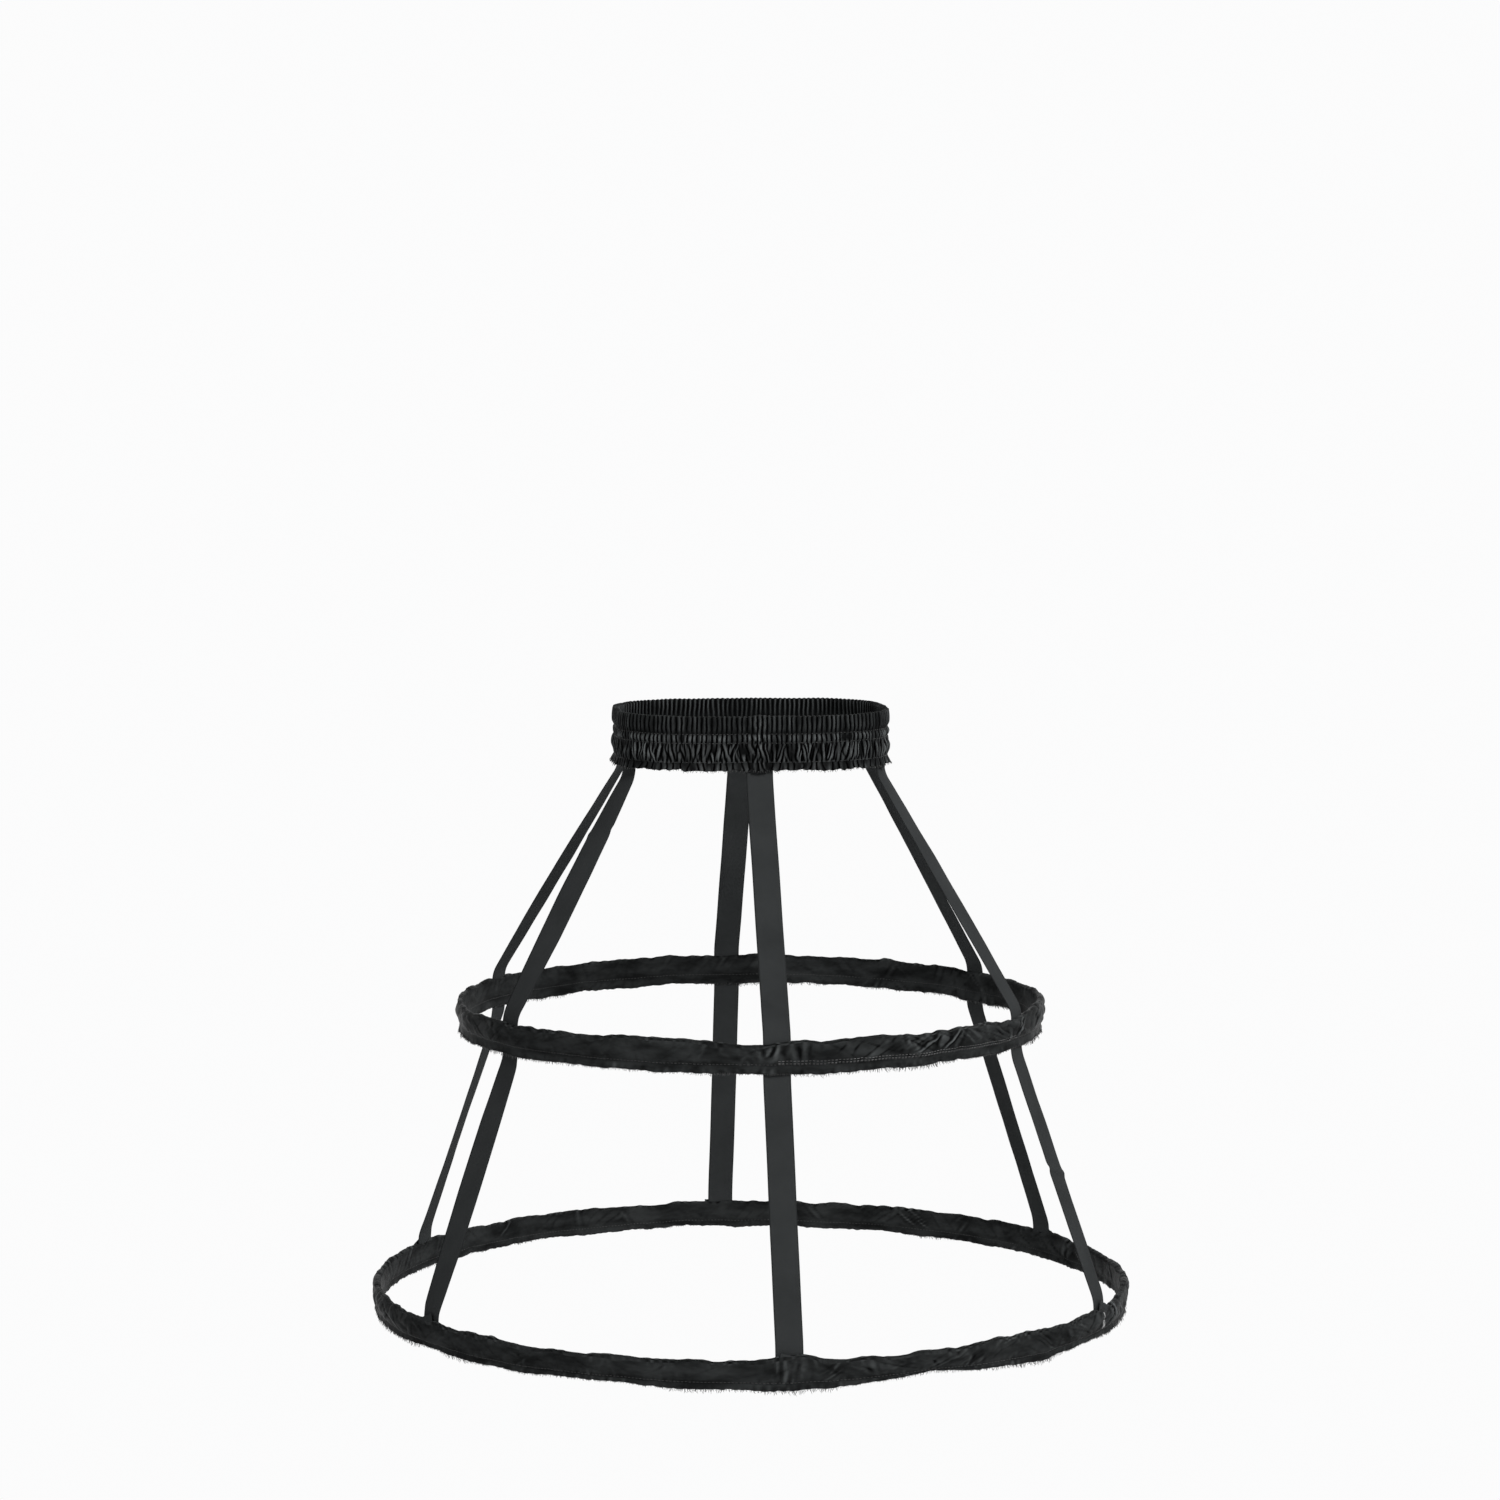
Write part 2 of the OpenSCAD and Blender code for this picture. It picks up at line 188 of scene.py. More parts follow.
class CageSizes(bpy.types.PropertyGroup):
    """Sizes that the cloth is sewn to."""

    waist_half_w: FloatProperty(
        name="Half waist width",
        description="Half the width of the waist opening",
        default=frame_size("waist_elastic", 0, ELASTIC_FACE),
        unit="LENGTH",
    )
    waist_half_d: FloatProperty(
        name="Half waist depth",
        description="Half the depth of the waist opening",
        default=frame_size("waist_elastic", 1, ELASTIC_FACE),
        unit="LENGTH",
    )
    waist_square: FloatProperty(
        name="Waist squareness",
        description="How flat the back and sides of the waist opening are: 2 is a plain ellipse",
        default=3.0,
    )
    band_half_h: FloatProperty(
        name="Half band height",
        description="From the waistline to the fold of the waistband",
        default=frame_size("waistband_casing", 2),
        unit="LENGTH",
    )
    pleats: IntProperty(
        name="Pleats",
        description="Pleats in the crown of the waistband",
        default=164,
    )
    pleat_depth: FloatProperty(
        name="Pleat depth",
        description="How far a pleat of the crown stands out",
        default=1.8 * MM,
        unit="LENGTH",
    )
    puff_depth: FloatProperty(
        name="Puff depth",
        description="How far the puff between the two lower rows stands out",
        default=3.5 * MM,
        unit="LENGTH",
    )
    upper_r: FloatProperty(
        name="Upper hoop radius",
        description="Radius of the upper bone at its middle",
        default=frame_size("upper_hoop_bone", 0, BONE_HALF),
        unit="LENGTH",
    )
    lower_r: FloatProperty(
        name="Lower hoop radius",
        description="Radius of the lower bone at its middle",
        default=frame_size("lower_hoop_bone", 0, BONE_HALF),
        unit="LENGTH",
    )
    upper_z: FloatProperty(
        name="Upper hoop height",
        description="Height of the upper bone's middle",
        default=middle("upper_hoop_bone").z,
        unit="LENGTH",
    )
    lower_z: FloatProperty(
        name="Lower hoop height",
        description="Height of the lower bone's middle",
        default=middle("lower_hoop_bone").z,
        unit="LENGTH",
    )
    upper_allowance: FloatProperty(
        name="Upper seam allowance",
        description="Raw edge of the upper casing below its stitch row",
        default=7.5 * MM,
        unit="LENGTH",
    )
    lower_allowance: FloatProperty(
        name="Lower seam allowance",
        description="Raw edge of the lower casing below its stitch row",
        default=5.0 * MM,
        unit="LENGTH",
    )
    ribbon_w: FloatProperty(
        name="Ribbon width",
        description="Width of the ribbons",
        default=21.0 * MM,
        unit="LENGTH",
    )
    ribbon_t: FloatProperty(
        name="Ribbon thickness",
        description="Thickness of the ribbons",
        default=0.4 * MM,
        unit="LENGTH",
    )
    stitch_pitch: FloatProperty(
        name="Stitch pitch",
        description="Distance from one stitch to the next",
        default=2.9 * MM,
        unit="LENGTH",
    )
    thread_r: FloatProperty(
        name="Thread radius",
        description="Radius of the sewing thread",
        default=0.2 * MM,
        unit="LENGTH",
    )
    fray_l: FloatProperty(
        name="Fray length",
        description="Length of the loose threads at the raw edges",
        default=2.4 * MM,
        unit="LENGTH",
    )


class CageColours(bpy.types.PropertyGroup):
    """Colours of the finishes."""

    satin: FloatVectorProperty(
        name="Satin",
        description="Casings and waistband",
        default=(0.0090, 0.0096, 0.0097),
        size=3,
        subtype="COLOR",
    )
    ribbon: FloatVectorProperty(
        name="Ribbon",
        description="Flat ribbons",
        default=(0.027, 0.0288, 0.0294),
        size=3,
        subtype="COLOR",
    )
    thread: FloatVectorProperty(
        name="Thread",
        description="Stitches and fray",
        default=(0.03, 0.03, 0.03),
        size=3,
        subtype="COLOR",
    )
    elastic: FloatVectorProperty(
        name="Elastic",
        description="Woven elastic in the waistband",
        default=(0.02, 0.02, 0.02),
        size=3,
        subtype="COLOR",
    )
    bone: FloatVectorProperty(
        name="Bone",
        description="Flat boning in the hoops",
        default=(0.78, 0.78, 0.74),
        size=3,
        subtype="COLOR",
    )
    sleeve: FloatVectorProperty(
        name="Sleeve",
        description="Crimped sleeves over the bone ends",
        default=(0.55, 0.56, 0.58),
        size=3,
        subtype="COLOR",
    )
    floor: FloatVectorProperty(
        name="Floor",
        description="Floor and backdrop",
        default=(0.97, 0.97, 0.972),
        size=3,
        subtype="COLOR",
    )


def uneven(point, reach, seed=0.0):
    """Smooth noise from about -1 to 1 that changes over a distance of reach."""
    shift = Vector([seed * step for step in SEED_STEPS])
    return NOISE_GAIN * noise.noise(Vector(point) / reach + shift)


def ease(x, low=0.0, high=1.0):
    """0 below low, 1 above high, and a soft step between them."""
    s = min(1.0, max(0.0, (x - low) / (high - low)))
    return s * s * (3 - 2 * s)


def bump(x, centre, width):
    """A soft hill of height 1."""
    return math.exp(-(((x - centre) / width) ** 2))


def hills(way, spans):
    """Soft hills added up at a distance along a strip, each with its height, centre and width in mm."""
    return sum(height * bump(way, centre * MM, width * MM) for height, centre, width in spans)


def ridge(phase):
    """Rounded ridges between rounded valleys, from 0 to 1."""
    return 0.5 + 0.5 * math.cos(phase)


def pleated(phase):
    """Round pleats between sharp valleys, from 0 to 1."""
    return abs(math.cos(phase / 2)) ** 0.8


def turn_gap(share, other):
    """The way round from one share of a ring to another, from -0.5 to 0.5."""
    return (share - other + 0.5) % 1.0 - 0.5


class Folds:
    """Loose folds scattered along a strip: slanting ridges, each with its own place and size."""

    CELL = 20 * MM
    # How far a fold strays along the strip, as a share of the pitch, and the levels that its middle may have
    STRAY = 0.6
    LEVELS = (-0.1, 1.1)
    # What is added to the seed for the noise that turns folds to one side or the other
    TURN_SEED = 30

    def __init__(self, length, pitch, seed, slant, width, height, reach, drift):
        draw = random.Random(seed)
        self.length = length
        self.cells = [[] for _ in range(math.ceil(length / self.CELL))]
        count = round(length / pitch)
        for k in range(count):
            way = (k + draw.uniform(-self.STRAY, self.STRAY)) * length / count
            lean = math.copysign(draw.uniform(*slant), uneven((way, 0, 0), drift, seed + self.TURN_SEED))
            level, tall, wide, high = (draw.uniform(*span) for span in (self.LEVELS, reach, width, height))
            far = abs(lean) + wide
            first = math.floor((way - far) / self.CELL)
            last = math.floor((way + far) / self.CELL)
            for cell in range(first, last + 1):
                self.cells[cell % len(self.cells)].append((way, lean, level, tall, wide, high))

    def rise(self, way, level):
        """Height of the highest fold at a distance along the strip and a level from 0 to 1."""
        top = 0.0
        way %= self.length
        near = self.cells[int(way / self.CELL) % len(self.cells)]
        for centre, lean, middle_level, tall, wide, high in near:
            above = level - middle_level
            up = above / tall
            ahead = way - centre - lean * above
            gap = (ahead + self.length / 2) % self.length - self.length / 2
            if abs(up) < 1 and abs(gap) < wide:
                top = max(top, high * (1 - up * up) * (1 - (gap / wide) ** 2))
        return top


class WaistLine:
    """The edge of the waist opening: an ellipse swollen between its axes, measured from the back."""

    STEPS = 1440
    # The way round is measured this far out, near the band's outer face
    OUT = 3 * MM

    def __init__(self, sizes):
        self.half_w, self.half_d, self.square = sizes.waist_half_w, sizes.waist_half_d, sizes.waist_square
        self.dirs = [BACK + TAU * k / self.STEPS for k in range(self.STEPS + 1)]
        points = [self.edge(d) + self.normal(d) * self.OUT for d in self.dirs]
        self.way = [0.0]
        for a, b in zip(points, points[1:]):
            self.way.append(self.way[-1] + (b - a).length)
        self.length = self.way[-1]

    def edge(self, direction):
        """The point of the edge in a direction."""
        c, s = math.cos(direction), math.sin(direction)
        swell = (abs(c) ** self.square + abs(s) ** self.square) ** (-1 / self.square)
        return Vector((self.half_w * c, self.half_d * s, 0)) * swell

    def normal(self, direction):
        """Straight outwards from the edge."""
        c, s = math.cos(direction), math.sin(direction)
        x = math.copysign(abs(c) ** (self.square - 1), c) / self.half_w
        y = math.copysign(abs(s) ** (self.square - 1), s) / self.half_d
        return Vector((x, y, 0)).normalized()

    def along(self, direction):
        """The heading of the edge, anticlockwise."""
        normal = self.normal(direction)
        return Vector((-normal.y, normal.x, 0))

    def bow(self, direction, width):
        """How far the edge falls back over half a width, to each side of a direction."""
        step = width / (2 * self.half_w)
        edges = [self.edge(direction + s) - self.edge(direction) for s in (-step, step)]
        reach = (edges[1] - edges[0]).length / 2
        return -(edges[0] + edges[1]).dot(self.normal(direction)) / 2 * (width / 2 / reach) ** 2

    def direction(self, share):
        """The direction at a share of the way round."""
        goal = (share % 1.0) * self.length
        low, high = 0, self.STEPS
        while high - low > 1:
            half = (low + high) // 2
            if self.way[half] <= goal:
                low = half
            else:
                high = half
        part = (goal - self.way[low]) / (self.way[high] - self.way[low])
        return self.dirs[low] + part * (self.dirs[high] - self.dirs[low])


class Waistband:
    """The gathered waistband: where each point of its faces lies."""

    # Heights of the rows as shares of the band's height, up from the raw edge
    PUFF_ROW, TUCK_ROW, CROWN_ROW = 0.157, 0.518, 0.687
    # Rows of the mesh in the frill, the puff, the tuck, the crown, the fold at the top and the lining
    MESH_ROWS = (8, 14, 7, 10)
    FOLD_ROWS, LINING_ROWS = 5, 10
    # Levels of the frill's back, and of the ends of the lining
    FRILL_LEVELS = (0.11, 0.07, 0.035, 0.0)
    LINING_TOP, LINING_FOOT = 0.985, 0.02
    # The plain outer face, out from the waist opening, and the thickness of the cloth
    WALL = 2.75 * MM
    CLOTH = 0.6 * MM
    # The pocket of the elastic: the level of its top, and its faces out from the waist opening
    POCKET_TOP = 0.96
    POCKET_IN, POCKET_OUT = 0.8 * MM, 2.3 * MM
    # A fold half as deep as this has its full painted highlight, and a hollow as deep its full painted shade:
    # even pleats are given less painted light than the puff
    PUFF_HOLLOW, PLEAT_HOLLOW = 0.75 * MM, 1.7 * MM
    # How near to a row the lining's gathers are drawn in
    PINCH = 0.12

    def __init__(self, sizes):
        self.line = WaistLine(sizes)
        self.pleats = sizes.pleats
        self.pleat_depth = sizes.pleat_depth
        self.puff_depth = sizes.puff_depth
        self.top = sizes.band_half_h
        self.bottom = -sizes.band_half_h
        self.folds = Folds(
            self.line.length,
            pitch=2.9 * MM,
            seed=5,
            slant=(0.5 * MM, 5 * MM),
            width=(1.2 * MM, 2.6 * MM),
            height=(0.25 * self.puff_depth, 0.9 * self.puff_depth),
            reach=(0.4, 1.2),
            drift=4 * MM,
        )
        self.spots = {}

    def spot(self, share):
        """The edge point, its normal and the noise of one column, kept for its other rows."""
        key = round(share, 7)
        if key not in self.spots:
            direction = self.line.direction(share)
            edge, normal = self.line.edge(direction), self.line.normal(direction)
            pleat = TAU * self.pleats * share + 0.9 * uneven(edge, 14 * MM, 1)
            seam = bump(turn_gap(share, 0.0) * self.line.length, 0.5 * MM, 5.5 * MM)
            self.spots[key] = (edge, normal, pleat, seam)
        return self.spots[key]

    def height(self, share, level):
        """Height of a level, from 0 at the raw edge to 1 at the fold, with uneven edges and rows."""
        edge, _, pleat, seam = self.spot(share)
        rows = 0.45 * MM * uneven(edge, 35 * MM, 2) * ease(level, 0.05, 0.2) * ease(1 - level, 0.02, 0.2)
        ragged = 0.9 * uneven(edge, 9 * MM, 3) + 0.7 * uneven(edge, 3.2 * MM, 4)
        hem = ragged * MM * ease(0.16 - level, 0.0, 0.16)
        crown = 0.55 * ridge(pleat) + 0.45 * uneven(edge, 26 * MM, 5) + 1.2 * seam
        scallop = crown * MM * ease(level, 0.75, 1)
        return self.bottom + level * (self.top - self.bottom) + rows + hem + scallop

    def out(self, share, level):
        """How far the outer face stands out from the waist opening at a level."""
        edge, _, pleat, seam = self.spot(share)
        at = Vector((edge.x, edge.y, level * 40 * MM))
        fine = pleated(pleat + 1.1 * uneven(at, 7 * MM, 6))
        if level >= self.CROWN_ROW:
            h = (level - self.CROWN_ROW) / (1 - self.CROWN_ROW)
            belly = 0.7 * MM * math.sin(math.pi * (0.1 + 0.9 * h))
            depth = self.pleat_depth * (0.3 + 0.7 * ease(h, 0, 0.35))
            depth *= 0.85 + 0.45 * uneven(edge, 5 * MM, 7)
            grown = belly + depth * pleated(pleat + 0.6 * uneven(at, 6 * MM, 8))
        elif level >= self.TUCK_ROW:
            h = (level - self.TUCK_ROW) / (self.CROWN_ROW - self.TUCK_ROW)
            arch = math.sin(math.pi * h)
            grown = arch * (0.4 * MM + 1.7 * MM * fine * (0.8 + 0.7 * uneven(edge, 6 * MM, 9)))
            grown += 0.6 * MM * fine * (1 - arch)
        elif level >= self.PUFF_ROW:
            h = (level - self.PUFF_ROW) / (self.TUCK_ROW - self.PUFF_ROW)
            arch = math.sin(math.pi * h) ** 0.7
            way = share * self.line.length + 1.2 * MM * uneven(at, 9 * MM, 10)
            grown = arch * (0.35 * MM + self.folds.rise(way, h)) + (1 - arch) * 0.9 * MM * fine
            grown += arch * 0.15 * MM * uneven(at, 3.5 * MM, 13)
        else:
            h = 1 - level / self.PUFF_ROW
            flare = 1.4 * MM * h + 1.3 * MM * h * uneven(edge, 7 * MM, 14)
            wavy = pleated(1.3 * pleat / 2 + 2.2 * uneven(at, 9 * MM, 15))
            grown = max(0.0, flare) + (0.35 + 0.65 * h) * 1.5 * MM * wavy
        lump = seam * MM * (1.3 + 0.9 * uneven(at, 3 * MM, 16) + 0.7 * uneven(at, 6 * MM, 17))
        return self.WALL + max(0.0, grown) + max(0.0, lump)

    def outer(self, share, level):
        """A point of the outer face."""
        edge, normal, _, _ = self.spot(share)
        return edge + normal * self.out(share, level) + Vector((0, 0, self.height(share, level)))

    def inner(self, share, level, out):
        """A point of an inner face at a plain distance out."""
        edge, normal, _, _ = self.spot(share)
        return edge + normal * out + Vector((0, 0, self.height(share, level)))

    def sunk(self, share, level):
        """A point of a stitch row, which lies in the valleys of the gathers."""
        return self.inner(share, level, min(self.out(share, level), self.WALL + 0.5 * MM))

    def lining(self, share, level):
        """A point of the face towards the waist opening, with soft gathers that stand inwards."""
        edge, normal, pleat, _ = self.spot(share)
        at = Vector((edge.x, edge.y, level * 40 * MM))
        gaps = [abs(level - row) / self.PINCH for row in (self.CROWN_ROW, self.TUCK_ROW)]
        pinch = min(1.0, *gaps)
        fold = ridge(pleat + 1.2 * uneven(at, 10 * MM, 18)) * (0.35 + 0.65 * pinch)
        return edge - normal * 1.1 * MM * fold + Vector((0, 0, self.height(share, level)))

    def levels(self):
        """The levels of the outer face's rows, up from the raw edge."""
        marks = (0.0, self.PUFF_ROW, self.TUCK_ROW, self.CROWN_ROW, 1.0)
        made = []
        for low, high, count in zip(marks, marks[1:], self.MESH_ROWS):
            made += [low + (high - low) * k / count for k in range(count)]
        return made + [1.0]

    def hollow_depths(self, count):
        """The depth of painted highlight and shade of each row."""
        below = sum(level < self.CROWN_ROW for level in self.levels())
        return [self.PUFF_HOLLOW] * below + [self.PLEAT_HOLLOW] * (count - below)

    def rows(self):
        """The closed section, from the raw edge round to it again, each row a function of the share round."""
        made = [lambda share, level=level: self.outer(share, level) for level in self.levels()]
        for k in range(1, self.FOLD_ROWS):
            made.append(lambda share, part=k / self.FOLD_ROWS: self.fold(share, part))
        drop = self.LINING_TOP - self.LINING_FOOT
        for k in range(self.LINING_ROWS):
            level = self.LINING_TOP - drop * k / (self.LINING_ROWS - 1)
            made.append(lambda share, level=level: self.lining(share, level))
        pocket = (
            (self.LINING_FOOT, self.CLOTH),
            (0.5, self.POCKET_IN),
            (self.POCKET_TOP, self.POCKET_IN),
            (self.POCKET_TOP, self.POCKET_OUT),
            (0.5, self.POCKET_OUT),
            (self.PUFF_ROW, self.POCKET_OUT),
        )
        for level, out in pocket:
            made.append(lambda share, level=level, out=out: self.inner(share, level, out))
        for level in self.FRILL_LEVELS:
            made.append(lambda share, level=level: self.frill_back(share, level))
        return made

    def frill_back(self, share, level):
        """A point of the frill's back, one cloth behind its face."""
        return self.inner(share, level, self.out(share, level) - self.CLOTH)

    def fold(self, share, part):
        """A point of the rounded fold at the top, from the outer face to the lining."""
        start, end = self.outer(share, 1.0), self.lining(share, self.LINING_TOP)
        return start.lerp(end, part) + Vector((0, 0, 0.9 * MM * math.sin(math.pi * part)))


class Casing:
    """One hoop's casing: where each point of its faces lies."""

    # Layers measured outwards from the bone's middle: inner face, face of the pocket, seam and belly
    INNER, SPLIT, SEAM, BELLY = -2.35 * MM, -1.6 * MM, -0.65 * MM, 2.15 * MM
    CLOTH = 0.55 * MM
    # Half the pocket's height, the height of the rounded crest, and how far the inner raw edge hangs lower
    POCKET, CREST, DROP = 5.95 * MM, 1.2 * MM, 0.5 * MM
    # Rows of the mesh on the raw edge, the outer face, the crest and the inner face
    EDGE_ROWS, OUTER_ROWS, CREST_ROWS, INNER_ROWS = 6, 18, 6, 13
    # Rows on the back of the raw edge, as shares of its height down from the seam
    EDGE_PARTS = (0.35, 0.7, 1.0)
    # The top fold may sink this far before it would uncover the bone
    SAG = -0.8 * MM

    def __init__(self, radius, bone_z, allowance, seed, rises, tucks, puckers, bunched):
        self.radius, self.bone_z, self.seed = radius, bone_z, seed
        self.rises, self.tucks, self.puckers, self.bunched = rises, tucks, puckers, bunched
        self.top = CASING_RISE
        self.shoulder = self.top - self.CREST
        self.row = -STITCH_DROP
        self.hem = -STITCH_DROP - allowance
        self.length = TAU * radius
        self.creases = Folds(
            self.length,
            pitch=9 * MM,
            seed=seed,
            slant=(4 * MM, 40 * MM),
            width=(2.5 * MM, 6 * MM),
            height=(0.2 * MM, 1.5 * MM),
            reach=(0.2, 0.7),
            drift=50 * MM,
        )
        self.drapes = Folds(
            self.length,
            pitch=13 * MM,
            seed=seed + 1,
            slant=(20 * MM, 70 * MM),
            width=(9 * MM, 22 * MM),
            height=(0.5 * MM, 1.8 * MM),
            reach=(0.3, 0.9),
            drift=90 * MM,
        )
        self.spots = {}

    def spot(self, share):
        """The outward direction and the unevenness of one column, kept for its other rows."""
        key = round(share, 7)
        if key not in self.spots:
            direction = BACK + TAU * share
            normal = Vector((math.cos(direction), math.sin(direction), 0))
            at = normal * self.radius
            way = turn_gap(share, 0.0) * self.length
            wave = 0.7 + 1.1 * uneven(at, 75 * MM, self.seed) + 1.4 * uneven(at, 24 * MM, self.seed + 1)
            wave += 0.8 * uneven(at, 10 * MM, self.seed + 16) + 0.3 * uneven(at, 4 * MM, self.seed + 17)
            wave = max(self.SAG, MM * (wave + hills(way, self.rises)))
            hem = 1.3 * uneven(at, 55 * MM, self.seed + 2) + 0.6 * uneven(at, 13 * MM, self.seed + 3)
            hem = MM * (hem + 0.5 * uneven(at, 3.5 * MM, self.seed + 4)) + 0.3 * wave
            hem += MM * hills(way, self.tucks)
            fuss = 0.15 + 0.8 * ease(normal.x, -0.15, 0.4) + 0.8 * ease(abs(normal.x), 0.8, 0.95)
            fuss *= 0.75 + 0.6 * uneven(at, 60 * MM, self.seed + 5)
            fuss += hills(way, self.puckers)
            join = self.bunched * bump(way, 2 * MM, 17 * MM)
            self.spots[key] = (normal, at, way, wave, hem, max(0.1, fuss), join)
        return self.spots[key]

    def lift(self, share, z):
        """How far the uneven top and hem carry a height up or down."""
        _, _, _, wave, hem, _, _ = self.spot(share)
        upper = ease(z, self.row, self.top)
        lower = ease(-z, -self.row, -self.hem)
        return wave * upper + hem * lower + 0.42 * hem * (1 - upper) * (1 - lower)

    def out(self, share, z):
        """How far the outer face stands out from the bone's middle."""
        _, at, way, _, _, fuss, join = self.spot(share)
        here = at + Vector((0, 0, z))
        edge_out = self.SEAM + self.CLOTH
        if z >= self.row:
            h = (z - self.row) / (self.top - self.row)
            belly = math.sin(math.pi * min(1.0, 0.04 + 0.96 * h)) ** 0.55
            bent = way + 2.5 * MM * uneven(here, 17 * MM, self.seed + 6)
            swell = 0.35 * uneven(here, 26 * MM, self.seed + 8)
            swell += 0.2 * fuss * uneven(here, 8 * MM, self.seed + 9)
            bunch = 1.3 * join * abs(uneven(Vector((way, 0.45 * z, 0)), 7 * MM, self.seed + 11))
            grown = 0.75 * fuss * self.creases.rise(bent, h)
            grown += (0.3 + 0.9 * fuss) * self.drapes.rise(bent, h)
            grown += MM * (swell + bunch)
            return edge_out * (1 - belly) + belly * (self.BELLY + max(-0.3 * MM, grown))
        h = (self.row - z) / (self.row - self.hem)
        curl = 0.4 + 0.6 * uneven(here, 14 * MM, self.seed + 12)
        curl += 0.2 * uneven(here, 4.5 * MM, self.seed + 13)
        return edge_out + MM * h * max(0.0, 0.3 + curl + 0.8 * join)

    def point(self, share, out, z):
        """A point at a distance out from the bone's middle, at a height that the uneven edges carry along."""
        normal = self.spot(share)[0]
        lifted = self.bone_z + z + self.lift(share, z)
        return normal * (self.radius + out) + Vector((0, 0, lifted))

    def outer(self, share, z):
        """A point of the outer face."""
        return self.point(share, self.out(share, z), z)

    def inner(self, share, z):
        """A point of the face inside the hoop."""
        _, at, way, _, _, fuss, _ = self.spot(share)
        here = at + Vector((0, 0, z))
        pinch = min(1.0, abs(z - self.row) / (4 * MM))
        h = (z - self.hem) / (self.top - self.hem)
        fold = 0.4 * MM + 0.6 * MM * uneven(here, 20 * MM, self.seed + 14)
        fold += 0.3 * self.creases.rise(-way, 1 - h) + 0.4 * self.drapes.rise(-way, 1 - h)
        return self.point(share, self.INNER - pinch * (0.5 + 0.5 * fuss) * max(0.0, fold), z)

    def crest(self, share, part):
        """A point of the fold over the bone, from the outer face to the inner one."""
        start, end = self.out(share, self.shoulder), self.INNER
        bow = self.CREST * math.sin(math.pi * part) ** 0.7
        return self.point(share, start + (end - start) * part, self.shoulder + bow)

    def edge_back(self, share, z):
        """A point of the outer raw edge's back, one cloth behind its face."""
        return self.point(share, self.out(share, z) - self.CLOTH, z)

    def rows(self):
        """The closed section, from the raw edge round to it again, each row a function of the share round."""
        edge_h, outer_h = self.row - self.hem, self.shoulder - self.row
        heights = [self.hem + edge_h * k / self.EDGE_ROWS for k in range(self.EDGE_ROWS)]
        heights += [self.row + outer_h * k / self.OUTER_ROWS for k in range(self.OUTER_ROWS + 1)]
        made = [lambda share, z=z: self.outer(share, z) for z in heights]
        for k in range(1, self.CREST_ROWS):
            made.append(lambda share, part=k / self.CREST_ROWS: self.crest(share, part))
        inner_hem = self.hem - self.DROP
        for k in range(self.INNER_ROWS + 1):
            z = self.shoulder + (inner_hem - self.shoulder) * k / self.INNER_ROWS
            made.append(lambda share, z=z: self.inner(share, z))
        pocket = (
            (self.SPLIT - 0.2 * MM, inner_hem),
            (self.SPLIT, self.row),
            (self.SPLIT, 0.0),
            (self.SPLIT, self.POCKET),
            (-self.SPLIT, self.POCKET),
            (-self.SPLIT, 0.0),
            (-self.SPLIT, -self.POCKET),
            (self.SEAM, self.row),
        )
        for out, z in pocket:
            made.append(lambda share, out=out, z=z: self.point(share, out, z))
        for part in self.EDGE_PARTS:
            z = self.row + (self.hem - self.row) * part
            made.append(lambda share, z=z: self.edge_back(share, z))
        return made


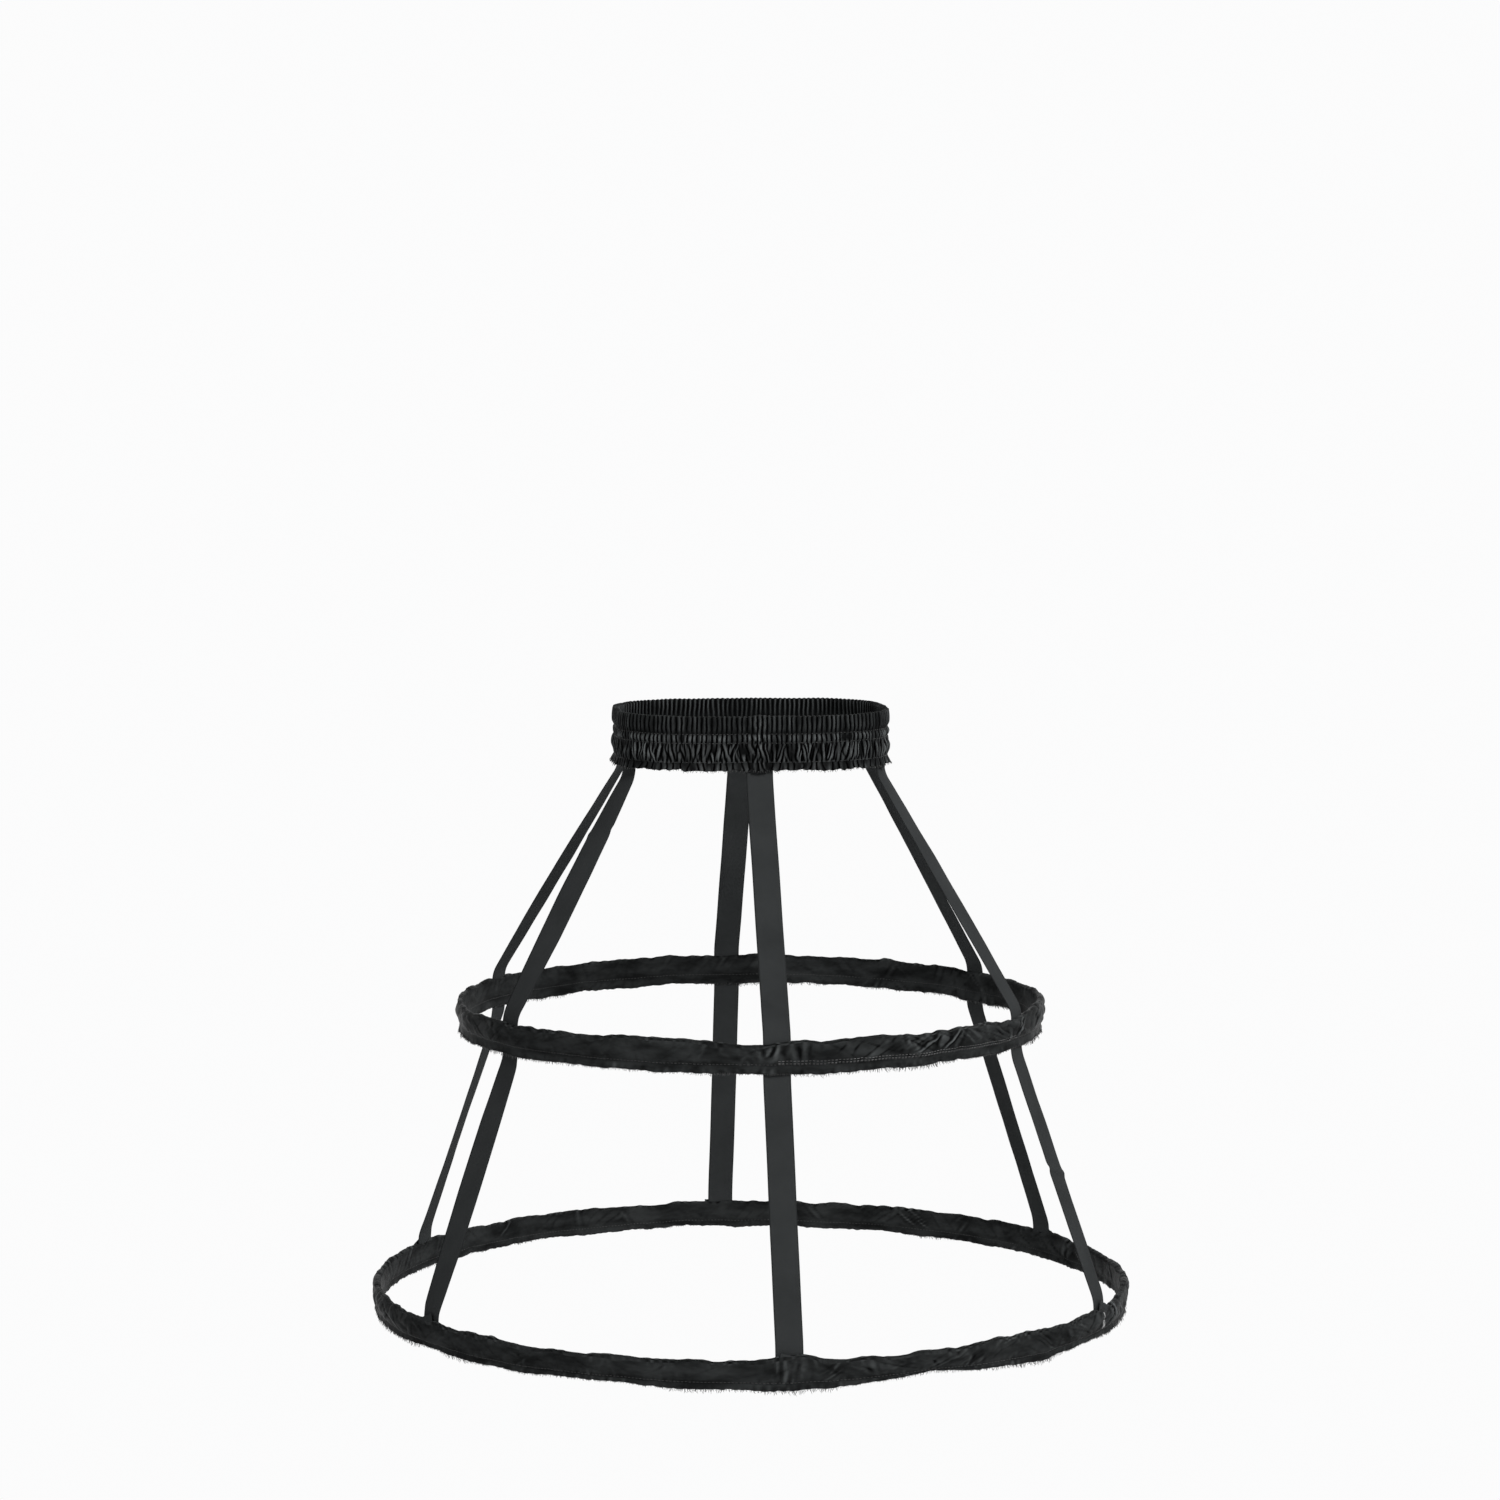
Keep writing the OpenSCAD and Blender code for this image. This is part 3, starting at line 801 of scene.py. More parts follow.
class Ribbon:
    """One flat ribbon: where each point of it lies, along and across."""

    # Where it lies in a casing, out from the bone's middle: inside the bone, and outside it after the turn
    INSIDE, OUTSIDE = -1.32 * MM, 1.08 * MM
    # The turn under the lower bone, the end above its casing, and the soft bend above the upper casing
    TURN_DROP, END_RISE, BEND_RISE = 6.1 * MM, 4.0 * MM, 5.8 * MM
    # How far it reaches up into the waistband, where it bends below it, and the room left at a casing
    TAB, LEAVE, ROOM = 11.5 * MM, 6 * MM, 5 * MM
    # Steps of a soft bend, and the most of a straight run that it may take up
    BEND_STEPS, BEND_SHARE = 8, 0.45

    def __init__(self, sizes, line, turn, seed, twists, shifts, lean, creases):
        self.seed, self.creases = seed, creases
        self.upper_twist, self.lower_twist = twists
        self.width = sizes.ribbon_w
        direction = BACK + math.radians(turn)
        self.waist_along = line.along(direction)
        self.hoop_along = Vector((-math.sin(direction), math.cos(direction), 0))
        self.bow = line.bow(direction, self.width)
        outwards = Vector((math.cos(direction), math.sin(direction), 0))
        tab = line.edge(direction) + line.normal(direction) * POCKET_MIDDLE
        upper = outwards * (sizes.upper_r + self.INSIDE) + self.hoop_along * shifts[0]
        lower = outwards * (sizes.lower_r + self.INSIDE) + self.hoop_along * shifts[1]
        end = outwards * (sizes.lower_r + self.OUTSIDE) + self.hoop_along * shifts[1]
        up = Vector((0, 0, 1))
        lower_top = sizes.lower_z + CASING_RISE
        turn_z = sizes.lower_z - self.TURN_DROP
        self.leave_z = -sizes.band_half_h - self.LEAVE
        self.upper_z = sizes.upper_z + CASING_RISE + self.BEND_RISE
        self.off_z = sizes.upper_z - STITCH_DROP - sizes.upper_allowance - self.ROOM
        self.lower_z = lower_top + self.END_RISE + self.ROOM
        corners = [
            tab + up * (-sizes.band_half_h + self.TAB),
            tab + up * self.leave_z,
            upper + up * self.upper_z,
            upper + up * self.off_z,
            lower + up * self.lower_z,
            lower + up * turn_z,
            end + up * turn_z,
            end + up * (lower_top + self.END_RISE) + self.hoop_along * lean,
        ]
        self.path = self.rounded(corners)
        self.way = [0.0]
        for a, b in zip(self.path, self.path[1:]):
            self.way.append(self.way[-1] + (b - a).length)
        self.length = self.way[-1]

    def rounded(self, corners):
        """The corners joined by straight runs and short soft bends."""
        path = [corners[0]]
        for before, corner, after in zip(corners, corners[1:], corners[2:]):
            runs = [(end - corner).length * self.BEND_SHARE for end in (before, after)]
            reach = min(RIBBON_BEND, *runs)
            a = corner + (before - corner).normalized() * reach
            b = corner + (after - corner).normalized() * reach
            for k in range(self.BEND_STEPS + 1):
                s = k / self.BEND_STEPS
                path.append(a.lerp(corner, s).lerp(corner.lerp(b, s), s))
        path.append(corners[-1])
        return path

    def at(self, way):
        """The middle line's point and heading at a distance along it."""
        k = 0
        while k < len(self.path) - 2 and self.way[k + 1] < way:
            k += 1
        step = self.path[k + 1] - self.path[k]
        part = (way - self.way[k]) / max(1e-9, self.way[k + 1] - self.way[k])
        return self.path[k] + step * min(1.0, part), step.normalized()

    def point(self, along, across):
        """A point at a share of the length, and at a share of the width from -0.5 to 0.5."""
        way = along * self.length
        middle_point, heading = self.at(way)
        share = min(1.0, max(0.0, (self.leave_z - middle_point.z) / (self.leave_z - self.upper_z)))
        side = self.waist_along.lerp(self.hoop_along, share).normalized()
        side = (side - heading * side.dot(heading)).normalized()
        face = heading.cross(side)
        slack = math.sin(math.pi * share)
        low = min(1.0, max(0.0, (self.off_z - middle_point.z) / (self.off_z - self.lower_z)))
        twist = self.upper_twist * slack + self.lower_twist * math.sin(math.pi * low) ** 0.6
        side = (side * math.cos(twist) + face * math.sin(twist)).normalized()
        face = heading.cross(side)
        here = Vector((across * 30 * MM, way, self.seed))
        crease = 0.22 * MM * uneven(here, 24 * MM, self.seed) * ease(way, 30 * MM, 60 * MM)
        for height, slant, depth in self.creases:
            crease += depth * MM * bump(middle_point.z + slant * across * self.width, height * MM, 2.5 * MM)
        cup = 0.5 * MM * (abs(2 * across) ** 2 - 0.4) * slack - self.bow * (2 * across) ** 2 * (1 - share)
        waver = 0.25 * MM * uneven((0, way, 0), 60 * MM, self.seed + 2)
        waver *= ease(self.length - way, 40 * MM, 90 * MM)
        moved = middle_point + side * (across * self.width + waver) + face * (crease + cup)
        end = ease(way, self.length - 0.5 * MM, self.length)
        return moved + heading * end * 0.5 * MM * uneven((across * 20 * MM, 0, 0), 2.2 * MM, self.seed + 3)


def new_object(name, mesh):
    """Links a mesh to the scene as a piece that rides on the cage's one body."""
    obj = bpy.data.objects.new(name, mesh)
    bpy.context.scene.collection.objects.link(obj)
    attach(obj, "root")
    return obj


def sewn_ring(name, rows, columns, length, hollow_depths):
    """A grid rolled up into a closed ring, with each vertex moved to its place on the cloth.

    Its hollow attribute is 0.5 on flat cloth. It falls to 0 on ridges that stand out by half of the row's
    hollow depth, and rises to 1 in valleys as deep; the satin paints highlights on the ridges and shade in
    the valleys from it. Heights for the UV map are read from one plain section.
    """
    bm = bmesh.new()
    uv_layer = bm.loops.layers.uv.new("UVMap")
    hollow = bm.verts.layers.float.new("hollow")
    column_layer, row_layer = bm.verts.layers.int.new("column"), bm.verts.layers.int.new("row")
    bmesh.ops.create_grid(bm, x_segments=columns, y_segments=len(rows), size=0.5)
    heights = [0.0]
    plain_share = 0.31
    section = [row(plain_share) for row in rows]
    for a, b in zip(section, section[1:] + section[:1]):
        heights.append(heights[-1] + (b - a).length)
    for face in bm.faces:
        for loop in face.loops:
            column = round((loop.vert.co.x + 0.5) * columns)
            row = round((loop.vert.co.y + 0.5) * len(rows))
            loop[uv_layer].uv = (length * column / columns, heights[row])
    for vert in bm.verts:
        vert[column_layer] = round((vert.co.x + 0.5) * columns) % columns
        vert[row_layer] = round((vert.co.y + 0.5) * len(rows)) % len(rows)
        vert.co = rows[vert[row_layer]](vert[column_layer] / columns)
    bmesh.ops.remove_doubles(bm, verts=bm.verts, dist=1e-7)
    bmesh.ops.recalc_face_normals(bm, faces=bm.faces)
    bm.normal_update()
    places = {(vert[row_layer], vert[column_layer]): vert.co for vert in bm.verts}
    for vert in bm.verts:
        row, column = vert[row_layer], vert[column_layer]
        sides = [places[row, (column + step) % columns] for step in (-2, 2)]
        sunk = ((sides[0] + sides[1]) / 2 - vert.co).dot(vert.normal)
        vert[hollow] = min(1.0, max(0.0, 0.5 + sunk / hollow_depths[row]))
    for face in bm.faces:
        face.smooth = True
    mesh = bpy.data.meshes.new(name)
    bm.to_mesh(mesh)
    bm.free()
    return new_object(name, mesh)


def laid_strip(name, ribbon, columns, rows, thickness):
    """A grid bent along a ribbon's path, with a Solidify modifier for its thickness."""
    bm = bmesh.new()
    uv_layer = bm.loops.layers.uv.new("UVMap")
    bmesh.ops.create_grid(bm, x_segments=columns, y_segments=rows, size=0.5)
    for face in bm.faces:
        face.smooth = True
        for loop in face.loops:
            loop[uv_layer].uv = (loop.vert.co.x * ribbon.width, (loop.vert.co.y + 0.5) * ribbon.length)
    for vert in bm.verts:
        vert.co = ribbon.point(vert.co.y + 0.5, vert.co.x)
    mesh = bpy.data.meshes.new(name)
    bm.to_mesh(mesh)
    bm.free()
    obj = new_object(name, mesh)
    wall = obj.modifiers.new("Thickness", "SOLIDIFY")
    wall.thickness = thickness
    wall.offset = 0
    return obj


def thread_object(name, strands, radius):
    """Short threads as one bevelled curve, turned into a mesh; each strand is a list of (point, taper)."""
    curve = bpy.data.curves.new(name, "CURVE")
    curve.dimensions = "3D"
    curve.bevel_depth = radius
    curve.bevel_resolution = 0
    curve.use_fill_caps = True
    for strand in strands:
        spline = curve.splines.new("POLY")
        spline.points.add(len(strand) - 1)
        for point, (co, taper) in zip(spline.points, strand):
            point.co = (*co, 1)
            point.radius = taper
    scratch = bpy.data.objects.new(name, curve)
    bpy.context.scene.collection.objects.link(scratch)
    graph = bpy.context.evaluated_depsgraph_get()
    mesh = bpy.data.meshes.new_from_object(scratch.evaluated_get(graph))
    mesh.name = name
    bpy.data.objects.remove(scratch)
    bpy.data.curves.remove(curve)
    for polygon in mesh.polygons:
        polygon.use_smooth = True
    return new_object(name, mesh)


class Nodes:
    """A short way to lay out one material's nodes."""

    def __init__(self, name):
        self.material = bpy.data.materials.new(name)
        self.material.use_nodes = True
        self.tree = self.material.node_tree
        self.shader = self.tree.nodes["Principled BSDF"]
        self.coords = self.tree.nodes.new("ShaderNodeTexCoord")

    def add(self, kind, **values):
        """A new node with its settings."""
        node = self.tree.nodes.new(kind)
        for key, value in values.items():
            setattr(node, key, value)
        return node

    def link(self, source, target):
        """Joins an output to an input."""
        self.tree.links.new(source, target)

    def spread(self, source="Object", scale=(1, 1, 1), turn=0.0):
        """Object or UV coordinates in metres, scaled and turned."""
        mapping = self.add("ShaderNodeMapping")
        mapping.inputs["Scale"].default_value = scale
        mapping.inputs["Rotation"].default_value = (0, 0, turn)
        self.link(self.coords.outputs[source], mapping.inputs["Vector"])
        return mapping.outputs["Vector"]

    def cloud(self, vector, scale, detail=3.0, roughness=0.55):
        """Soft patches."""
        texture = self.add("ShaderNodeTexNoise")
        texture.inputs["Scale"].default_value = scale
        texture.inputs["Detail"].default_value = detail
        texture.inputs["Roughness"].default_value = roughness
        self.link(vector, texture.inputs["Vector"])
        return texture.outputs["Fac"]

    def wave(self, vector, scale, distortion):
        """Even lines, a little bent."""
        texture = self.add("ShaderNodeTexWave")
        texture.inputs["Scale"].default_value = scale
        texture.inputs["Distortion"].default_value = distortion
        self.link(vector, texture.inputs["Vector"])
        return texture.outputs["Fac"]

    def ramp(self, fac, low, high, start=0.3, stop=0.7):
        """A value carried from start and stop to low and high."""
        node = self.add("ShaderNodeMapRange")
        for key, value in (("From Min", start), ("From Max", stop), ("To Min", low), ("To Max", high)):
            node.inputs[key].default_value = value
        self.link(fac, node.inputs["Value"])
        return node.outputs["Result"]

    def tint(self, fac, dark, light):
        """A colour between two plain ones."""
        node = self.add("ShaderNodeMix", data_type="RGBA")
        self.link(fac, node.inputs["Factor"])
        node.inputs["A"].default_value = (*dark, 1)
        node.inputs["B"].default_value = (*light, 1)
        return node.outputs["Result"]

    def blend(self, fac, below, colour):
        """A colour laid over another one."""
        node = self.add("ShaderNodeMix", data_type="RGBA")
        self.link(fac, node.inputs["Factor"])
        self.link(below, node.inputs["A"])
        node.inputs["B"].default_value = (*colour, 1)
        return node.outputs["Result"]

    def times(self, first, second):
        """One value times another."""
        node = self.add("ShaderNodeMath", operation="MULTIPLY")
        self.link(first, node.inputs[0])
        self.link(second, node.inputs[1])
        return node.outputs["Value"]

    def relief(self, height, distance, strength, below=None):
        """Bumps from a height, laid over another relief where one is given."""
        node = self.add("ShaderNodeBump")
        node.inputs["Distance"].default_value = distance
        node.inputs["Strength"].default_value = strength
        self.link(height, node.inputs["Height"])
        if below is not None:
            self.link(below, node.inputs["Normal"])
        return node.outputs["Normal"]

    def finish(self, colour, roughness, normal, **constants):
        """The finished material, with plain values for other inputs by name."""
        self.link(colour, self.shader.inputs["Base Color"])
        self.link(roughness, self.shader.inputs["Roughness"])
        self.link(normal, self.shader.inputs["Normal"])
        for key, value in constants.items():
            self.shader.inputs[key.replace("_", " ")].default_value = value
        return self.material


def shade(colour, factor):
    """A colour made darker or lighter."""
    return tuple(c * factor for c in colour)


def material_once(name, make):
    """The named material, made on first use."""
    return bpy.data.materials.get(name) or make(name)


def satin_finish(name, painted_light_level, ridge_highlight, patchy, hollow_shade, streak_sheen):
    """Black satin: a fine slanting weave, soft crinkles, painted highlights on ridges that come and go,
    painted shade in the hollows and painted sheen in long streaks.

    In order, the numbers make the colour that many times as light, a painted light or shade for the whole
    piece;
    make its ridges that many times as light again, a painted highlight; make its hollows that many times as
    light again, a painted shade; give the least share of the painted highlight on a ridge; and say how strong
    the painted sheen is in streaks along the cloth.
    """
    # Painted light or shade for the whole piece: the satin's colour is made lighter or darker as a whole
    colour = shade(bpy.context.scene.cage_colours.satin, painted_light_level)
    n = Nodes(name)
    place = n.spread()
    weave = n.wave(n.spread("UV", turn=math.radians(27)), scale=900, distortion=1.5)
    crinkle = n.cloud(place, scale=230, detail=4)
    # Painted sheen: long streaks along the cloth, made lighter and darker, stand in for the light that satin
    # reflects
    sheen_streaks = n.cloud(n.spread("UV", scale=(0.3, 1, 1)), scale=100)
    sheen_streaks = n.ramp(sheen_streaks, 0, 1, start=0.36, stop=0.64)
    wear_and_sheen = n.tint(sheen_streaks, shade(colour, 1 - streak_sheen), shade(colour, 1 + 1.8 * streak_sheen))
    # Painted highlights: ridges, found from the hollow attribute, are made lighter, in patches that come and
    # go
    hollow = n.add("ShaderNodeAttribute", attribute_name="hollow").outputs["Fac"]
    patches = n.ramp(n.cloud(place, scale=38, detail=2), patchy, 1.0, start=0.38, stop=0.62)
    ridges = n.times(n.ramp(hollow, 0, 1, start=0.47, stop=0.0), patches)
    bright = n.blend(ridges, wear_and_sheen, shade(colour, ridge_highlight))
    # Painted shade: the hollows between the folds are made darker
    tint = n.blend(n.ramp(hollow, 0, 1, start=0.5, stop=0.75), bright, shade(colour, hollow_shade))
    gloss = n.ramp(n.cloud(place, scale=80, detail=2), 0.27, 0.4)
    threads = n.relief(weave, 0.03 * MM, strength=0.3)
    normal = n.relief(crinkle, 0.3 * MM, strength=0.4, below=threads)
    return n.finish(tint, gloss, normal, Specular_IOR_Level=0.005)


def gathered_finish(name):
    """Satin drawn up in gathers, made darker as a whole with painted shade, with strong painted highlights on
    its ridges.
    """
    return satin_finish(name, painted_light_level=0.5, ridge_highlight=21.0, patchy=0.35, hollow_shade=0.05, streak_sheen=0.2)


def casing_finish(name):
    """Satin drawn smooth over a bone, made lighter as a whole with painted light, with strong streaks of
    painted sheen.
    """
    return satin_finish(name, painted_light_level=1.6, ridge_highlight=6.0, patchy=0.15, hollow_shade=0.2, streak_sheen=0.4)


def ribbon_finish(name):
    """Flat satin ribbon: fine crosswise picks, firm woven edges and a dull gloss."""
    colour = tuple(bpy.context.scene.cage_colours.ribbon)
    n = Nodes(name)
    place = n.spread()
    picks = n.wave(n.spread("UV", turn=math.radians(90)), scale=700, distortion=0.6)
    split = n.add("ShaderNodeSeparateXYZ")
    n.link(n.coords.outputs["UV"], split.inputs["Vector"])
    away = n.add("ShaderNodeMath", operation="ABSOLUTE")
    n.link(split.outputs["X"], away.inputs[0])
    half_w = bpy.context.scene.cage_sizes.ribbon_w / 2
    edge = n.ramp(away.outputs["Value"], 0, 1, start=half_w - 1.1 * MM, stop=half_w - 0.6 * MM)
    mottle = n.tint(n.ramp(n.cloud(place, scale=30), 0, 1), shade(colour, 0.9), shade(colour, 1.12))
    tint = n.blend(edge, mottle, shade(colour, 0.7))
    gloss = n.ramp(n.cloud(place, scale=60, detail=2), 0.44, 0.56)
    normal = n.relief(edge, 0.12 * MM, strength=0.6, below=n.relief(picks, 0.05 * MM, strength=0.3))
    return n.finish(tint, gloss, normal, Specular_IOR_Level=0.003)


def thread_finish(name, dark=0.7, light=1.5, patches=300):
    """Twisted sewing thread, in dark and light patches."""
    colour = tuple(bpy.context.scene.cage_colours.thread)
    n = Nodes(name)
    place = n.spread()
    tint = n.tint(n.ramp(n.cloud(place, scale=patches), 0, 1), shade(colour, dark), shade(colour, light))
    gloss = n.ramp(n.cloud(place, scale=200, detail=2), 0.4, 0.6)
    normal = n.relief(n.wave(place, scale=1200, distortion=2), 0.05 * MM, strength=0.4)
    return n.finish(tint, gloss, normal, Specular_IOR_Level=0.3)


def glint_finish(name):
    """Thread with painted glints: light patches in its colour stand in for the light it catches here and
    there.
    """
    return thread_finish(name, dark=0.5, light=6.5, patches=90)


def tack_finish(name):
    """Pale thread."""
    return thread_finish(name, dark=6.3, light=13.5)


def elastic_finish(name):
    """Ribbed woven elastic."""
    colour = tuple(bpy.context.scene.cage_colours.elastic)
    n = Nodes(name)
    place = n.spread()
    ribs = n.wave(n.spread(turn=math.radians(90)), scale=350, distortion=0.4)
    tint = n.tint(ribs, shade(colour, 0.7), shade(colour, 1.3))
    gloss = n.ramp(n.cloud(place, scale=150, detail=2), 0.65, 0.8)
    return n.finish(tint, gloss, n.relief(ribs, 0.3 * MM, strength=0.6), Sheen_Weight=0.15)


def bone_finish(name):
    """Milky flat boning with fine drawn lines."""
    colour = tuple(bpy.context.scene.cage_colours.bone)
    n = Nodes(name)
    place = n.spread()
    lines = n.wave(n.spread(scale=(0, 0, 1)), scale=600, distortion=0.5)
    tint = n.tint(n.ramp(n.cloud(place, scale=40), 0, 1), shade(colour, 0.93), shade(colour, 1.04))
    gloss = n.ramp(n.cloud(place, scale=90, detail=2), 0.38, 0.5)
    return n.finish(tint, gloss, n.relief(lines, 0.05 * MM, strength=0.4))


def sleeve_finish(name):
    """Crimped metal sleeve with brushed lines."""
    colour = tuple(bpy.context.scene.cage_colours.sleeve)
    n = Nodes(name)
    place = n.spread(scale=(60, 60, 1600))
    tint = n.tint(n.ramp(n.cloud(place, scale=1), 0, 1), shade(colour, 0.85), shade(colour, 1.05))
    gloss = n.ramp(n.cloud(place, scale=1, detail=2), 0.28, 0.45)
    normal = n.relief(n.cloud(place, scale=2), 0.05 * MM, strength=0.3)
    return n.finish(tint, gloss, normal, Metallic=1.0)


def dress(obj, finish, name):
    """Gives a piece its finish, as a material of the given name."""
    obj.data.materials.clear()
    obj.data.materials.append(material_once(name, finish))


def both_casings(sizes):
    """The upper and the lower casing, each with its own folds, raw edges and bunched seam at the back."""
    upper = Casing(
        sizes.upper_r,
        sizes.upper_z,
        sizes.upper_allowance,
        seed=1,
        rises=UPPER_RISES,
        tucks=UPPER_TUCKS,
        puckers=UPPER_PUCKERS,
        bunched=1.0,
    )
    lower = Casing(
        sizes.lower_r,
        sizes.lower_z,
        sizes.lower_allowance,
        seed=41,
        rises=LOWER_RISES,
        tucks=LOWER_TUCKS,
        puckers=(),
        bunched=0.4,
    )
    return {"upper": upper, "lower": lower}


class CAGE_OT_waistband(bpy.types.Operator):
    """Sews the gathered waistband and replaces its solid"""

    bl_idname = "cage.waistband"
    bl_label = "Waistband"

    def execute(self, context):
        band = Waistband(context.scene.cage_sizes)
        rows = band.rows()
        columns = band.pleats * COLUMNS_PER_PLEAT
        obj = sewn_ring("waistband", rows, columns, band.line.length, band.hollow_depths(len(rows)))
        dress(obj, gathered_finish, "gathered_satin")
        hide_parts("waistband_casing")
        return {"FINISHED"}


class CAGE_OT_casings(bpy.types.Operator):
    """Sews the casings of both hoops and replaces their solids"""

    bl_idname = "cage.casings"
    bl_label = "Hoop casings"

    def execute(self, context):
        for name, casing in both_casings(context.scene.cage_sizes).items():
            rows = casing.rows()
            columns = round(casing.length / CASING_COLUMN)
            obj = sewn_ring(f"{name}_casing", rows, columns, casing.length, [CASING_HOLLOW] * len(rows))
            dress(obj, casing_finish, "casing_satin")
            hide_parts(f"{name}_hoop_casing")
        return {"FINISHED"}


class CAGE_OT_ribbons(bpy.types.Operator):
    """Lays the six ribbons and replaces their solids"""

    bl_idname = "cage.ribbons"
    bl_label = "Ribbons"

    def execute(self, context):
        sizes = context.scene.cage_sizes
        line = WaistLine(sizes)
        for k, (name, turn) in enumerate(RIBBONS.items()):
            upper_twist, lower_twist, shift, foot, lean = HABITS[name]
            twists = (math.radians(upper_twist), math.radians(lower_twist))
            shifts = (shift * MM, foot * MM)
            seed = 3.7 * k
            ribbon = Ribbon(sizes, line, turn, seed, twists, shifts, lean * MM, CREASES.get(name, ()))
            obj = laid_strip(f"{name}_satin_ribbon", ribbon, RIBBON_COLUMNS, RIBBON_ROWS, sizes.ribbon_t)
            dress(obj, ribbon_finish, "ribbon_satin")
            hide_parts(f"{name}_ribbon")
        return {"FINISHED"}


class CAGE_OT_stitching(bpy.types.Operator):
    """Runs the stitch rows of the waistband and of both casings"""

    bl_idname = "cage.stitching"
    bl_label = "Stitching"

    def execute(self, context):
        sizes = context.scene.cage_sizes
        band = Waistband(sizes)
        rows = [
            (lambda share, level=level: band.sunk(share, level), band.line.length, 1, 1.0)
            for level in (band.PUFF_ROW, band.TUCK_ROW, band.CROWN_ROW)
        ]
        self.sew("waistband_stitching", rows, sizes)
        casings = both_casings(sizes)
        for name, casing in casings.items():
            rows = [
                (lambda share, c=casing: c.outer(share, c.row), casing.length, 1, 1.0),
                (lambda share, c=casing: c.inner(share, c.row), casing.length, -1, 1.0),
            ]
            self.sew(f"{name}_casing_stitching", rows, sizes)
        self.twin_rows(casings["upper"], sizes)
        self.tack(casings["lower"])
        return {"FINISHED"}

    def twin_rows(self, casing, sizes):
        """Two rows side by side above the seam, from the back to near the right back ribbon."""
        rows = [
            (lambda share, z=casing.row + rise: casing.outer(share, z), casing.length, 1, TWIN_SHARE)
            for rise in TWIN_RISES
        ]
        self.sew("upper_casing_twin_rows", rows, sizes, glint_finish, "glinting_thread")

    @staticmethod
    def tack(casing):
        """Three pale stitches at the foot of the right back ribbon."""
        start = casing.length * RIBBONS["right_back"] / 360
        last = len(TACK_TAPER) - 1
        strands = []
        for a, b in TACKS:
            steps = [Vector(a).lerp(Vector(b), k / last) * MM for k in range(last + 1)]
            points = [casing.outer((start + step.x) / casing.length, step.y) for step in steps]
            raised = [p + Vector((p.x, p.y, 0)).normalized() * TACK_RAISE for p in points]
            strands.append(list(zip(raised, TACK_TAPER)))
        dress(thread_object("lower_casing_tack", strands, TACK_R), tack_finish, "tack_thread")

    @staticmethod
    def sew(name, rows, sizes, finish=thread_finish, thread="sewing_thread"):
        """One object for rows of stitches.

        Each row is given by its line, its length, the side that it shows on (1 outside, -1 inside) and the
        share of it that is sewn.
        """
        strands = []
        for place, length, side, sewn in rows:
            count = round(length / sizes.stitch_pitch)
            for k in range(round(count * sewn)):
                points = [place((k + part) / count) for part, _ in STITCH]
                out = side * Vector((points[1].x, points[1].y, 0)).normalized() * sizes.thread_r
                strands.append([(point + out * lift, 1.0) for point, (_, lift) in zip(points, STITCH)])
        dress(thread_object(name, strands, sizes.thread_r), finish, thread)


class CAGE_OT_fray(bpy.types.Operator):
    bl_idname = "cage.fray"
    bl_label = "Fray"

    def execute(self, context):
        sizes = context.scene.cage_sizes
        draw = random.Random(11)
        band = Waistband(sizes)
        frill_l, inner_l = sizes.fray_l * 0.5, sizes.fray_l * 0.7
        strands = self.edge(lambda s: band.outer(s, 0.0), band.line.length, frill_l, 1.6 * MM, draw)
        frays = {"waistband": strands}
        for name, casing in both_casings(sizes).items():
            length = casing.length
            strands = self.edge(lambda s, c=casing: c.outer(s, c.hem), length, sizes.fray_l, 1.1 * MM, draw)
            strands += self.edge(lambda s, c=casing: c.inner(s, c.hem), length, inner_l, 1.8 * MM, draw)
            frays[f"{name}_casing"] = strands
        for name, strands in frays.items():
            fray = thread_object(f"{name}_fray", strands, FRAY_R)
            dress(fray, thread_finish, "sewing_thread")
        return {"FINISHED"}

    @staticmethod
    def edge(place, length, reach, pitch, draw):
        """Threads that hang from an edge, thick where a patch of it has frayed."""
        down = Vector((0, 0, -1))
        strands = []
        for k in range(round(length / pitch)):
            share = (k + draw.uniform(-0.5, 0.5)) * pitch / length
            root = place(share)
            wear_and_sheen = ease(uneven(root, 45 * MM, 60), -0.5, 0.7)
            far = reach * (0.35 + 0.9 * wear_and_sheen) * draw.uniform(0.4, 1.25)
            out = Vector((root.x, root.y, 0)).normalized()
            side = Vector((-out.y, out.x, 0))
            lean = side * draw.uniform(-0.7, 0.7) + out * draw.uniform(-0.25, 0.45)
            curl = side * draw.uniform(-0.5, 0.5)
            strand = [(root - down * FRAY_ROOT, 1.0)]
            for part, taper in FRAY:
                strand.append((root + (down * part + lean * part + curl * part * part) * far, taper))
            strands.append(strand)
        return strands


class CAGE_OT_boning(bpy.types.Operator):
    """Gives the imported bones, sleeves and elastic their finishes"""

    bl_idname = "cage.boning"
    bl_label = "Bones and elastic"

    def execute(self, context):
        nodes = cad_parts
        finishes = {
            "waist_elastic": (elastic_finish, "woven_elastic"),
            "upper_hoop_bone": (bone_finish, "milky_boning"),
            "lower_hoop_bone": (bone_finish, "milky_boning"),
            "upper_bone_connector": (sleeve_finish, "crimped_metal"),
            "lower_bone_connector": (sleeve_finish, "crimped_metal"),
        }
        for name, (finish, material) in finishes.items():
            nodes[name].data.materials.clear()
            nodes[name].data.materials.append(material_once(material, finish))
        return {"FINISHED"}


